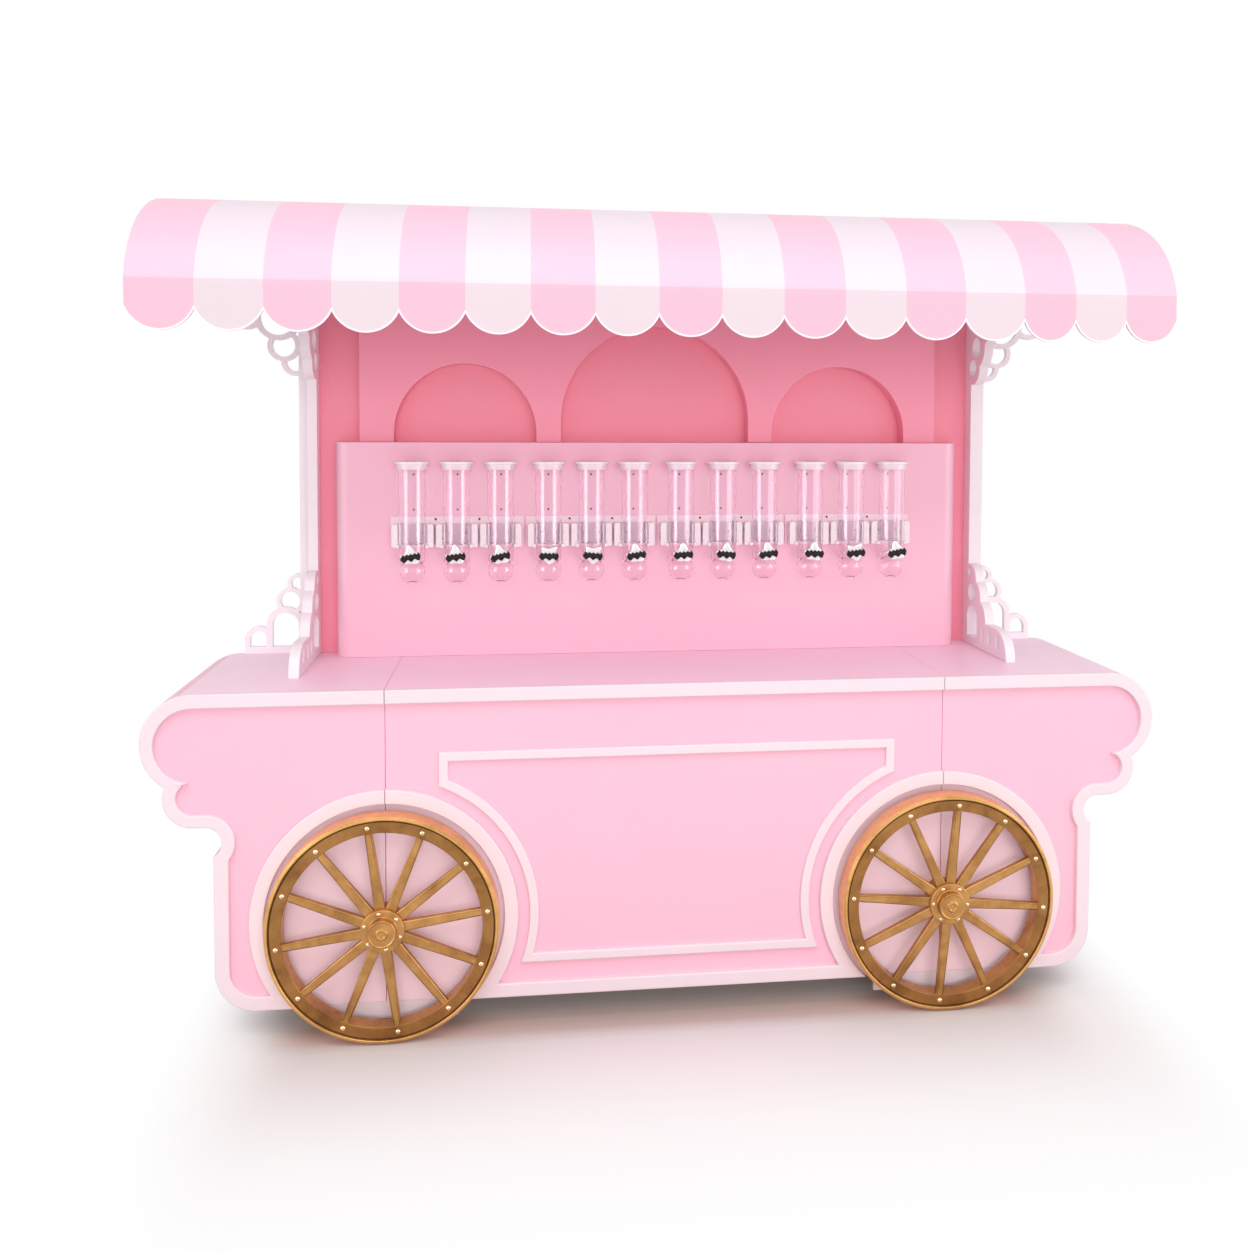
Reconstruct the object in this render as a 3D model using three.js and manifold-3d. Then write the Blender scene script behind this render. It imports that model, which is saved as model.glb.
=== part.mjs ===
// Candy buffet cart: a three-section counter with scalloped ends behind two spoked wheels,
// a back wall with arched niches, lace side brackets, a scalloped awning and a row of
// twelve candy dispensers on a display board.
// Millimetres, +Z up, +X to the viewer's right, the front faces -Y, the floor is z = 0.
// Until the last lines y = 0 is the front face of the counter's trim.

import * as THREE from 'three';
import { mergeVertices } from 'three/addons/utils/BufferGeometryUtils.js';
import Module from 'manifold-3d';

const wasm = await Module();
wasm.setup();

// Fits and cutters
const gap = 0.3;
const overrun = 5;
const weldDistance = 0.001;

// Counter
const counterHeight = 920;
const counterDepth = 556;
const counterBottom = 78;
const seamX = 765;
const seamGap = 1;
const counterWall = 18;
const shelfHeight = 471;
const shelfSetback = 30;

// Scalloped counter ends: a large lobe over a small curl, a hollow under it, a round corner
const lobeX = 1251;
const lobeRadius = 131;
const lobeToCurl = 142;
const curlX = 1250;
const curlRadius = 77;
const hollowX = 1222;
const hollowRadius = 42;
const endSideX = 1201;
const endCornerRadius = 108;

// Trim band round the counter's front and over the wheels
const trimWidth = 38;
const lobeTrimWidth = 33.5;
const trimDepth = 17.7;

// Panel moulding on the middle section
const mouldingWidth = 25;
const mouldingDepth = 11.7;
const mouldingHalfLength = 625;
const mouldingDrop = 172;
const mouldingRise = 90;
const mouldingToArch = 30;

// Leg frames under the seams
const legWidth = 37;
const footHeight = 50;
const footInset = 10;
const legSetback = 12;

// Wheels and their stub axles
const wheelRadius = 302;
const wheelLift = 1;
const archClearance = 10;
const wheelStandoff = 12;
const rimDepth = 48;
const rimWidth = 43;
const rimDraft = 2;
const rimLipHeight = 5;
const rimLipWidth = 6;
const rimLipInset = 4;
const spokeCount = 12;
const spokeHubWidth = 28;
const spokeRimWidth = 19;
const spokeThickness = 18;
const spokeFrontY = 58;
const hubFlangeRadius = 57;
const hubFlangeFront = 68;
const hubFlangeBack = 36;
const hubBossRadius = 38;
const hubBossFront = 86;
const hubBossChamfer = 6;
const hubNoseRadius = 14;
const hubNoseHeight = 4;
const hubBarrelRadius = 45;
const spokeRoot = 45;
const stubPlateRadius = 45;
const stubPlateThickness = 5.7;
const stubRadius = 14;
const stubLength = 40;
const stubPlugRadius = 30;
const bearingClearance = 0.6;
const leftSpokeAngle = -8;
const rightSpokeAngle = 5.2;

// Back wall, display board and arch panel. The arches' places and radii are shares of the
// panel's half length.
const wallThickness = 21;
const boardToPost = 54.7;
const boardThickness = 87.7;
const boardHeight = 642.7;
const boardCornerRadius = 45;
const archPanelToPost = 124.7;
const archPanelThickness = 59.7;
const sideArchShare = 0.64865;
const sideArchRadiusShare = 0.2384;
const sideArchLeg = 24.7;
const centreArchRadiusShare = 0.32545;
const centreArchLeg = 65.2;

// Side boards: a post with a lace bracket at its foot and another under the awning
const postX = 1012.7;
const postThickness = 29;
const postDepth = 71;
const bracketReach = 313;
const footBracketHeight = 258;
const headBracketHeight = 433;
const railHeight = 27;

// Places of the lobes as [out from the post, up from the rail] and radius, in shares of the
// bracket's reach and height, with the reach for the radius
const footLobeShares = [[0.048, 0.806, 0.16], [0.144, 0.585, 0.188], [0.256, 0.333, 0.214]];
const headLobeShares = [[0.048, 0.872, 0.176], [0.153, 0.735, 0.198], [0.272, 0.555, 0.24]];
const footNoseShares = [0.744, 0.02, 0.256];
const headNoseShares = [0.712, 0.244, 0.288];
const footHoleShares = [[0.038, 0.891, 0.045], [0.086, 0.651, 0.086]];
const headHoleShares = [[0.038, 0.88, 0.086], [0.12, 0.735, 0.1]];
const footArchShares = [0.109, 0.333, 0.13];
const headArchShares = [0.16, 0.53, 0.15];
const slotOutShares = [0.393, 0.58, 0.78];
const footSlotTopShare = 0.225;
const headSlotTopShare = 0.35;
const slotHalfWidth = 12;

// Lace wings outside the posts
const wingThickness = 18;
const wingStripWidth = 32;
const footWingReach = 196;
const footWingHeight = 241;
const headWingReach = 248;
const headWingHeight = 421;
const footWingRail = 20.7;
const headWingRail = 30.7;

// Loops of the wings as [out, up, outer radius, inner radius, 1 where legs reach the rail],
// in shares of the wing's reach and height, with the reach for the radii
const footLoopShares = [
  [0.204, 0.876, 0.153, 0.092, 0],
  [0.316, 0.658, 0.209, 0.145, 0],
  [0.388, 0.347, 0.291, 0.199, 1],
  [0.786, 0.169, 0.214, 0.14, 1],
];
const headLoopShares = [
  [0.161, 0.897, 0.173, 0.113, 0],
  [0.302, 0.783, 0.192, 0.135, 0],
  [0.367, 0.584, 0.274, 0.21, 1],
  [0.742, 0.519, 0.258, 0.194, 1],
];

// Awning: a curved shell with a hanging scalloped edge
const awningRise = 1269;
const awningReach = 337;
const awningThickness = 8;
const awningLeft = -1296;
const awningCurveDepth = 400;
const awningCurveRise = 237;
const valanceDrop = 119;
const scallopRise = 49;
const wideStripes = 14;
const wideStripe = 152.4;
const narrowStripes = 3;
const narrowStripe = 133.5;

// Dispensers, measured from the tube's axis and from its shoulder
const rackCount = 4;
const unitsPerRack = 3;
const rackPitch = 399;
const unitPitch = 129;
const shoulderRise = 342;
const tubeRadius = 39;
const boreRadius = 35;
const tubeLength = 238;
const housingRadius = 37;
const housingDrop = 73;
const outletRadius = 13;
const knobDrop = 31;
const spindleRadius = 4.2;
const spindleClearance = 0.8;

// Rack: a plate with a pair of jaws and ledges for each dispenser
const rackLength = 394;
const rackPlateThickness = 4;
const rackPlateTop = 80;
const rackPlateBottom = 12;
const jawWidth = 18.7;
const jawHeight = 60;
const jawFront = 5;
const jawCornerRadius = 9;
const ledgeReach = 1.5;
const ledgeHeight = 10;
const ledgeWidth = 20;

// Lid
const lidRadius = 49.5;
const lidThickness = 8.7;
const lidCollarRadius = 43.5;
const lidCollarDepth = 16;
const lidClearance = 0.4;
const lidToBoard = 1.5;

// Knob with its lever bar, spindle and dosing paddle
const knobLobes = 5;
const knobPointsPerLobe = 3;
const knobRadius = 27;
const knobLobeHeight = 3;
const knobDepth = 16;
const leverLength = 58;
const leverHeight = 10;
const leverDepth = 8;
const leverSink = 2;
const capRadius = 4.5;
const capHeight = 2;
const collarRadius = 8;
const collarLength = 6.4;
const paddleRadius = 27;
const paddleLength = 32;
const paddleThickness = 3;

// Roundness
const arcStep = Math.PI / 10;
const rimSides = 32;
const hubSides = 12;
const archSides = 48;
const tubeSides = 12;
const smallSides = 6;
const globeStep = Math.PI / 8;
const holeStep = Math.PI / 4;
const laceSides = 10;
const scallopSteps = 6;

// Places worked out from the sizes above
const faceY = trimDepth + gap;
const lobeZ = counterHeight - lobeRadius;
const curlZ = lobeZ - lobeToCurl;
const hollowZ = curlZ - curlRadius - hollowRadius;
const axleZ = wheelRadius + wheelLift;
const mouldingTop = counterHeight - mouldingDrop;
const mouldingBottom = counterBottom + mouldingRise;
const archInner = wheelRadius + archClearance;
const archOuter = archInner + trimWidth;
const wallFront = counterDepth - wallThickness;
const wallBottom = counterHeight + gap;
const awningTop = counterHeight + awningRise;
const wallTop = awningTop - awningThickness - gap;
const boardBack = wallFront - gap;
const boardFront = boardBack - boardThickness;
const boardTop = wallBottom + boardHeight;
const boardHalfLength = postX - boardToPost;
const archPanelHalfLength = postX - archPanelToPost;
const postFront = counterDepth - postDepth;
const wingX = postX + postThickness + gap;
const tubeStandoff = lidRadius + lidToBoard;
const tubeY = boardFront - tubeStandoff;
const shoulderHeight = counterHeight + shoulderRise;
const awningRight = awningLeft + wideStripes * wideStripe + narrowStripes * narrowStripe;
const farX = awningRight - awningLeft;
const farZ = awningTop + overrun;
const halfSeam = seamGap / 2;
const sections = {
  left: [-farX, -seamX - halfSeam],
  centre: [-seamX + halfSeam, seamX - halfSeam],
  right: [seamX + halfSeam, farX],
};

// Outlines

function arc([cx, cy], radius, from, to, step = arcStep) {
  const steps = Math.max(1, Math.round(Math.abs(to - from) / step));
  return Array.from({ length: steps + 1 }, (_, i) => {
    const angle = from + (to - from) * i / steps;
    return [cx + radius * Math.cos(angle), cy + radius * Math.sin(angle)];
  });
}

// Where two circles cross, to the left of the way from the first centre to the second, or
// the nearest place to that.
function crossing([ax, ay], ra, [bx, by], rb) {
  const apart = Math.hypot(bx - ax, by - ay);
  const along = (apart ** 2 + ra ** 2 - rb ** 2) / (2 * apart);
  const aside = Math.sqrt(Math.max(0, ra ** 2 - along ** 2));
  const [ux, uy] = [(bx - ax) / apart, (by - ay) / apart];
  return [ax + ux * along - uy * aside, ay + uy * along + ux * aside];
}

function angleTo([cx, cy], [x, y]) {
  return Math.atan2(y - cy, x - cx);
}

function bothSides(right) {
  const left = right.map(([x, z]) => [-x, z]).reverse();
  return [...right, ...left];
}

// Front outline of the counter, drawn in by inset, and by lobeInset round its lobes.
function counterOutline(inset, lobeInset) {
  const top = counterHeight - inset;
  const bottom = counterBottom + inset;
  const side = endSideX - inset;
  const bigRadius = lobeRadius - lobeInset;
  const lobe = [lobeX, top - bigRadius];
  const smallRadius = curlRadius - lobeInset;
  const curl = [curlX, curlZ];
  const cusp = crossing(lobe, bigRadius, curl, smallRadius);
  const biteRadius = hollowRadius + lobeInset;
  const biteEnd = 2 * Math.PI - Math.acos(Math.max(-1, (side - hollowX) / biteRadius));
  const cornerRadius = endCornerRadius - inset;
  return bothSides([
    ...arc(lobe, bigRadius, Math.PI / 2, angleTo(lobe, cusp)),
    ...arc(curl, smallRadius, angleTo(curl, cusp), -Math.PI / 2),
    ...arc([hollowX, hollowZ], biteRadius, Math.PI / 2, biteEnd),
    ...arc([side - cornerRadius, bottom + cornerRadius], cornerRadius, 0, -Math.PI / 2),
  ]);
}

// Solids

function solid(geometry) {
  geometry.deleteAttribute('normal');
  geometry.deleteAttribute('uv');
  const welded = mergeVertices(geometry, weldDistance);
  const corners = welded.index.array;
  const triangles = [];
  for (let i = 0; i < corners.length; i += 3) {
    const [a, b, c] = corners.slice(i, i + 3);
    if (a !== b && b !== c && c !== a) triangles.push(a, b, c);
  }
  const vertProperties = welded.attributes.position.array;
  const triVerts = Uint32Array.from(triangles);
  return new wasm.Manifold(new wasm.Mesh({ numProp: 3, vertProperties, triVerts }));
}

function surface(body) {
  const { vertProperties, triVerts } = body.getMesh();
  const geometry = new THREE.BufferGeometry();
  geometry.setAttribute('position', new THREE.BufferAttribute(vertProperties, 3));
  geometry.setIndex(new THREE.BufferAttribute(triVerts, 1));
  geometry.computeVertexNormals();
  return geometry;
}

function joined(bodies) {
  return bodies.reduce((whole, body) => whole.add(body));
}

function extruded(points, depth) {
  const distinct = points.filter(([x, y], i) => {
    const [nextX, nextY] = points[(i + 1) % points.length];
    return Math.hypot(nextX - x, nextY - y) > weldDistance;
  });
  const shape = new THREE.Shape(distinct.map(([x, y]) => new THREE.Vector2(x, y)));
  return new THREE.ExtrudeGeometry(shape, { depth, bevelEnabled: false });
}

// An XZ outline between two places along Y.
function frontPlate(points, y0, y1) {
  return solid(extruded(points, y1 - y0).rotateX(Math.PI / 2).translate(0, y1, 0));
}

// A YZ outline between two places along X.
function sidePlate(points, x0, x1) {
  const turn = new THREE.Matrix4().makeBasis(
    new THREE.Vector3(0, 1, 0),
    new THREE.Vector3(0, 0, 1),
    new THREE.Vector3(1, 0, 0),
  );
  return solid(extruded(points, x1 - x0).applyMatrix4(turn).translate(x0, 0, 0));
}

// An XY outline between two heights.
function floorPlate(points, z0, z1) {
  return solid(extruded(points, z1 - z0).translate(0, 0, z0));
}

function box([x0, x1], [y0, y1], [z0, z1]) {
  const block = new THREE.BoxGeometry(x1 - x0, y1 - y0, z1 - z0);
  return solid(block.translate((x0 + x1) / 2, (y0 + y1) / 2, (z0 + z1) / 2));
}

// A disc on the XZ plane between two places along Y.
function frontDisc([x, z], radius, y0, y1, sides) {
  const disc = new THREE.CylinderGeometry(radius, radius, y1 - y0, sides);
  return solid(disc.translate(x, (y0 + y1) / 2, z));
}

// A profile of [radius, place] points turned about the Y axis.
function turned(profile, sides) {
  const points = profile.map(([radius, place]) => new THREE.Vector2(radius, place));
  if (THREE.ShapeUtils.area(points) < 0) points.reverse();
  points.push(points[0].clone());
  return new THREE.LatheGeometry(points, sides);
}

function clippedX(body, [x0, x1]) {
  return body.intersect(box([x0, x1], [-farX, farX], [-farZ, farZ]));
}

// The same surface reflected in the plane x = 0, its faces turned to point out again.
function mirrored(geometry) {
  const copy = geometry.clone().scale(-1, 1, 1);
  const corners = copy.index.array;
  for (let i = 0; i < corners.length; i += 3) {
    [corners[i], corners[i + 1]] = [corners[i + 1], corners[i]];
  }
  copy.computeVertexNormals();
  return copy;
}

// Materials

const pinkPaint = { color: 0xfac0d6, roughness: 0.45, metalness: 0 };
const rosePaint = { color: 0xf5a3b8, roughness: 0.5, metalness: 0 };
const whitePaint = { color: 0xf7e8f0, roughness: 0.4, metalness: 0 };
const awningPaint = { color: 0xfcd0e2, roughness: 0.6, metalness: 0 };
const goldPaint = { color: 0xb07d3a, roughness: 0.35, metalness: 0.7 };
const clearPlastic = {
  color: 0xfbe6ee, roughness: 0.08, metalness: 0, transparent: true, opacity: 0.45,
};
const whitePlastic = { color: 0xf8f2f6, roughness: 0.3, metalness: 0 };
const rackPlastic = { color: 0xf3dfe8, roughness: 0.25, metalness: 0 };
const chrome = { color: 0xd9dadd, roughness: 0.12, metalness: 1 };

const cart = new THREE.Group();

function addPiece(parent, name, geometry, look) {
  const mesh = new THREE.Mesh(geometry, new THREE.MeshStandardMaterial(look));
  mesh.name = name;
  parent.add(mesh);
  return mesh;
}

// Counter sections: a scalloped shell open at the back, with a shelf

function counterSection([x0, x1]) {
  const block = frontPlate(counterOutline(0, 0), faceY, counterDepth);
  const outside = clippedX(block, [x0, x1]);
  const inside = clippedX(
    frontPlate(counterOutline(counterWall, counterWall), faceY + counterWall, counterDepth + overrun),
    [x0 + counterWall, x1 - counterWall],
  );
  const shelf = outside.intersect(box(
    [-farX, farX],
    [faceY, counterDepth - shelfSetback],
    [shelfHeight, shelfHeight + counterWall],
  ));
  return outside.subtract(inside).add(shelf);
}

// A stub axle on a round plate, let into the middle section beside the seam.
function stubAxle(x) {
  const plateFront = trimDepth - stubPlateThickness;
  const plate = frontDisc([x, axleZ], stubPlateRadius, plateFront, trimDepth, hubSides);
  const pin = frontDisc([x, axleZ], stubRadius, -stubLength, trimDepth, hubSides);
  const plug = frontDisc([x, axleZ], stubPlugRadius, plateFront, faceY + counterWall / 2, hubSides);
  return joined([plate, pin, clippedX(plug, sections.centre)]);
}

addPiece(cart, 'base_left', surface(counterSection(sections.left)), pinkPaint);
addPiece(
  cart,
  'base_centre',
  surface(joined([counterSection(sections.centre), stubAxle(-seamX), stubAxle(seamX)])),
  pinkPaint,
);
addPiece(cart, 'base_right', surface(counterSection(sections.right)), pinkPaint);

// Trim: a band along the outline that also arches over both wheels

function trimBand() {
  const outside = frontPlate(counterOutline(0, 0), 0, trimDepth);
  const inside = frontPlate(
    counterOutline(trimWidth, lobeTrimWidth), -overrun, trimDepth + overrun,
  );
  const band = outside.subtract(inside);
  const arches = [-seamX, seamX].map(x => outside.intersect(
    frontDisc([x, axleZ], archOuter, -overrun, trimDepth + overrun, archSides),
  ));
  const wells = [-seamX, seamX].map(x => (
    frontDisc([x, axleZ], archInner, -overrun, trimDepth + overrun, archSides)
  ));
  return joined([band, ...arches]).subtract(joined(wells));
}

const trim = trimBand();
const middleTrim = clippedX(trim, sections.centre);
const topStrip = box([-farX, farX], [-farX, farX], [counterHeight - trimWidth - overrun, farZ]);
addPiece(cart, 'trim_left', surface(clippedX(trim, sections.left)), whitePaint);
addPiece(cart, 'trim_top', surface(middleTrim.intersect(topStrip)), whitePaint);
addPiece(cart, 'trim_arches', surface(middleTrim.subtract(topStrip)), whitePaint);
addPiece(cart, 'trim_right', surface(clippedX(trim, sections.right)), whitePaint);

// A plate of the panel moulding, drawn in by inset, with its sides hollowed round the arches.
function mouldingPlate(inset, [y0, y1]) {
  const top = mouldingTop - inset;
  const bottom = mouldingBottom + inset;
  const side = mouldingHalfLength - inset;
  const radius = archOuter + mouldingToArch + inset;
  const sideAngle = Math.PI - Math.acos((seamX - side) / radius);
  const bottomAngle = Math.PI + Math.asin((axleZ - bottom) / radius);
  const edge = arc([seamX, axleZ], radius, sideAngle, bottomAngle, arcStep / 2);
  const [, edgeTop] = edge[0];
  const [edgeFoot] = edge[edge.length - 1];
  const hollow = frontPlate(
    [...edge, [edgeFoot, bottom - overrun], [seamX, bottom - overrun], [seamX, edgeTop]],
    y0 - overrun,
    y1 + overrun,
  );
  const plate = box([-side, side], [y0, y1], [bottom, top]);
  return plate.subtract(joined([hollow, hollow.mirror([1, 0, 0])]));
}

function panelMoulding() {
  const front = trimDepth - mouldingDepth;
  return mouldingPlate(0, [front, trimDepth]).subtract(
    mouldingPlate(mouldingWidth, [front - overrun, trimDepth + overrun]),
  );
}

addPiece(cart, 'panel_moulding', surface(panelMoulding()), whitePaint);

// Leg frames: two feet under a rail that spans the seam

function legFrame(x) {
  const across = [x - legWidth / 2, x + legWidth / 2];
  const front = faceY + legSetback;
  const back = counterDepth - legSetback;
  const rail = box(across, [front, back], [footHeight, counterBottom - gap]);
  const feet = [front + footInset, back - footInset - legWidth].map(y => (
    box(across, [y, y + legWidth], [0, (footHeight + counterBottom) / 2])
  ));
  return joined([rail, ...feet]);
}

addPiece(cart, 'leg_frame_left', surface(legFrame(-seamX)), whitePaint);
addPiece(cart, 'leg_frame_right', surface(legFrame(seamX)), whitePaint);

// Wheels: a turned rim and hub joined by tapered spokes, turned about the Y axis

function spoke(index) {
  const outer = wheelRadius - rimWidth + overrun;
  const root = spokeHubWidth / 2;
  const tip = spokeRimWidth / 2;
  const outline = [[-root, spokeRoot], [root, spokeRoot], [tip, outer], [-tip, outer]];
  const blade = extruded(outline, spokeThickness);
  blade.rotateX(Math.PI / 2).translate(0, spokeThickness - spokeFrontY, 0);
  return solid(blade.rotateY(2 * Math.PI * index / spokeCount));
}

function wheel() {
  const back = -wheelStandoff;
  const front = back - rimDepth;
  const lipOuter = wheelRadius - rimDraft - rimLipInset;
  const inner = wheelRadius - rimWidth - rimDraft;
  const rim = turned([
    [inner, back],
    [wheelRadius, back],
    [wheelRadius - rimDraft, front],
    [lipOuter, front],
    [lipOuter, front - rimLipHeight],
    [lipOuter - rimLipWidth, front - rimLipHeight],
    [lipOuter - rimLipWidth, front],
    [inner, front],
  ], rimSides);
  const bore = stubRadius + bearingClearance;
  const barrelEnd = trimDepth - stubPlateThickness - gap;
  const hub = turned([
    [0, -hubBossFront - hubNoseHeight],
    [hubNoseRadius, -hubBossFront - hubNoseHeight],
    [hubNoseRadius, -hubBossFront],
    [hubBossRadius - hubBossChamfer, -hubBossFront],
    [hubBossRadius, -hubBossFront + hubBossChamfer],
    [hubBossRadius, -hubFlangeFront],
    [hubFlangeRadius, -hubFlangeFront],
    [hubFlangeRadius, -hubFlangeBack],
    [hubBarrelRadius, -hubFlangeBack],
    [hubBarrelRadius, barrelEnd],
    [bore, barrelEnd],
    [bore, -stubLength - gap],
    [0, -stubLength - gap],
  ], hubSides);
  const spokes = Array.from({ length: spokeCount }, (_, i) => spoke(i));
  return surface(joined([solid(rim), solid(hub), ...spokes]));
}

const wheels = [['wheel_left', -seamX, leftSpokeAngle], ['wheel_right', seamX, rightSpokeAngle]];
for (const [name, x, angle] of wheels) {
  const mesh = addPiece(cart, name, wheel(), goldPaint);
  mesh.position.set(x, 0, axleZ);
  mesh.rotation.y = THREE.MathUtils.degToRad(angle);
}

// Back wall, display board and arch panel

const wallHalfLength = postX - gap;
const backWall = box(
  [-wallHalfLength, wallHalfLength],
  [wallFront, counterDepth],
  [wallBottom, wallTop],
);
addPiece(cart, 'back_wall', surface(backWall), rosePaint);

function displayBoard() {
  const cornerX = boardHalfLength - boardCornerRadius;
  const cornerY = boardFront + boardCornerRadius;
  return floorPlate([
    [-boardHalfLength, boardBack],
    ...arc([-cornerX, cornerY], boardCornerRadius, Math.PI, 3 * Math.PI / 2),
    ...arc([cornerX, cornerY], boardCornerRadius, -Math.PI / 2, 0),
    [boardHalfLength, boardBack],
  ], wallBottom, boardTop);
}

addPiece(cart, 'display_board', surface(displayBoard()), pinkPaint);

function archPanel() {
  const bottom = boardTop + gap;
  const sideX = sideArchShare * archPanelHalfLength;
  const sideRadius = sideArchRadiusShare * archPanelHalfLength;
  const centreRadius = centreArchRadiusShare * archPanelHalfLength;
  const arches = [
    [-sideX, sideRadius, sideArchLeg],
    [0, centreRadius, centreArchLeg],
    [sideX, sideRadius, sideArchLeg],
  ];
  const lowerEdge = arches.flatMap(([x, radius, leg]) => [
    [x - radius, bottom],
    ...arc([x, bottom + leg], radius, Math.PI, 0, arcStep / 2),
    [x + radius, bottom],
  ]);
  return frontPlate([
    [-archPanelHalfLength, bottom],
    ...lowerEdge,
    [archPanelHalfLength, bottom],
    [archPanelHalfLength, wallTop],
    [-archPanelHalfLength, wallTop],
  ], boardBack - archPanelThickness, boardBack);
}

addPiece(cart, 'arch_panel', surface(archPanel()), pinkPaint);

// Side boards: one outline with its holes. A bracket is drawn as distances out from the post
// and up from its rail, and then stands on the counter or hangs from the roof.

const footBracket = {
  height: footBracketHeight,
  lobes: footLobeShares,
  nose: footNoseShares,
  holes: footHoleShares,
  arch: footArchShares,
  slotTop: footSlotTopShare,
};
const headBracket = {
  height: headBracketHeight,
  lobes: headLobeShares,
  nose: headNoseShares,
  holes: headHoleShares,
  arch: headArchShares,
  slotTop: headSlotTopShare,
};

function bracketCircle([outShare, riseShare, radiusShare = 0], height) {
  return [outShare * bracketReach, riseShare * height, radiusShare * bracketReach];
}

function bracketEdge({ height, lobes, nose }) {
  const circles = lobes.map(lobe => bracketCircle(lobe, height));
  const [noseOut, noseRise, noseRadius] = bracketCircle(nose, height);
  const edge = [];
  let [current] = circles;
  let angle = Math.acos(Math.max(-1, -current[0] / current[2]));
  for (const next of circles.slice(1)) {
    const cusp = crossing(current, current[2], next, next[2]);
    edge.push(...arc(current, current[2], angle, angleTo(current, cusp)));
    angle = angleTo(next, cusp);
    current = next;
  }
  const drop = (noseRise + noseRadius - current[1]) / current[2];
  edge.push(...arc(current, current[2], angle, Math.asin(Math.max(-1, Math.min(1, drop)))));
  edge.push(...arc([noseOut, noseRise], noseRadius, Math.PI / 2, 0));
  edge.push([noseOut + noseRadius, 0]);
  return edge;
}

function bracketHoles({ height, holes, arch, slotTop }) {
  const window = ([out, rise, radius], step) => [
    [out - radius, railHeight],
    [out + radius, railHeight],
    ...arc([out, rise], radius, 0, Math.PI, step),
  ];
  const slots = slotOutShares.map(out => {
    const [slotOut, slotRise] = bracketCircle([out, slotTop], height);
    return window([slotOut, slotRise, slotHalfWidth], holeStep);
  });
  const rounds = holes.map(hole => {
    const circle = bracketCircle(hole, height);
    return arc(circle, circle[2], 0, 2 * Math.PI, holeStep);
  });
  return [window(bracketCircle(arch, height), arcStep), ...slots, ...rounds];
}

function sideBoard() {
  const onCounter = ([out, rise]) => [postFront - out, wallBottom + rise];
  const underRoof = ([out, rise]) => [postFront - out, wallTop - rise];
  const outline = [
    [counterDepth, wallBottom],
    [counterDepth, wallTop],
    ...bracketEdge(headBracket).map(underRoof).reverse(),
    ...bracketEdge(footBracket).map(onCounter),
  ];
  const holes = [
    ...bracketHoles(headBracket).map(hole => hole.map(underRoof)),
    ...bracketHoles(footBracket).map(hole => hole.map(onCounter)),
  ];
  const cuts = holes.map(hole => sidePlate(hole, postX - overrun, postX + postThickness + overrun));
  return sidePlate(outline, postX, postX + postThickness).subtract(joined(cuts));
}

const rightSideBoard = surface(sideBoard());
addPiece(cart, 'side_board_left', mirrored(rightSideBoard), whitePaint);
addPiece(cart, 'side_board_right', rightSideBoard, whitePaint);

// Wings: open loops beside the post, on the counter and under the awning

function wingLoops({ base, up, reach, height, rail, loops }) {
  const y0 = counterDepth - wingThickness;
  const between = (a, b) => [Math.min(a, b), Math.max(a, b)];
  const loopPiece = ([out, rise, outer, inner, legs]) => {
    const [x, z] = [wingX + out * reach, base + up * rise * height];
    const ring = (radius, ya, yb) => {
      const disc = frontDisc([x, z], radius, ya, yb, laceSides);
      const leg = box([x - radius, x + radius], [ya, yb], between(base, z));
      return legs ? disc.add(leg) : disc;
    };
    const hole = ring(inner * reach, y0 - overrun, counterDepth + overrun);
    return ring(outer * reach, y0, counterDepth).subtract(hole);
  };
  const edge = base + up * rail;
  const sill = box([wingX, wingX + reach], [y0, counterDepth], between(base, edge));
  const room = box([wingX, farX], [-farX, farX], between(base, base + up * farZ));
  return joined([sill, ...loops.map(loopPiece)]).intersect(room);
}

function wing() {
  const strip = box(
    [wingX, wingX + wingStripWidth],
    [counterDepth - wingThickness, counterDepth],
    [wallBottom, wallTop],
  );
  const foot = wingLoops({
    base: wallBottom,
    up: 1,
    reach: footWingReach,
    height: footWingHeight,
    rail: footWingRail,
    loops: footLoopShares,
  });
  const head = wingLoops({
    base: wallTop,
    up: -1,
    reach: headWingReach,
    height: headWingHeight,
    rail: headWingRail,
    loops: headLoopShares,
  });
  return joined([strip, foot, head]);
}

const rightWing = surface(wing());
addPiece(cart, 'wing_left', mirrored(rightWing), whitePaint);
addPiece(cart, 'wing_right', rightWing, whitePaint);

// Awning: the section runs from the hanging edge over the curve to the back

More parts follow.
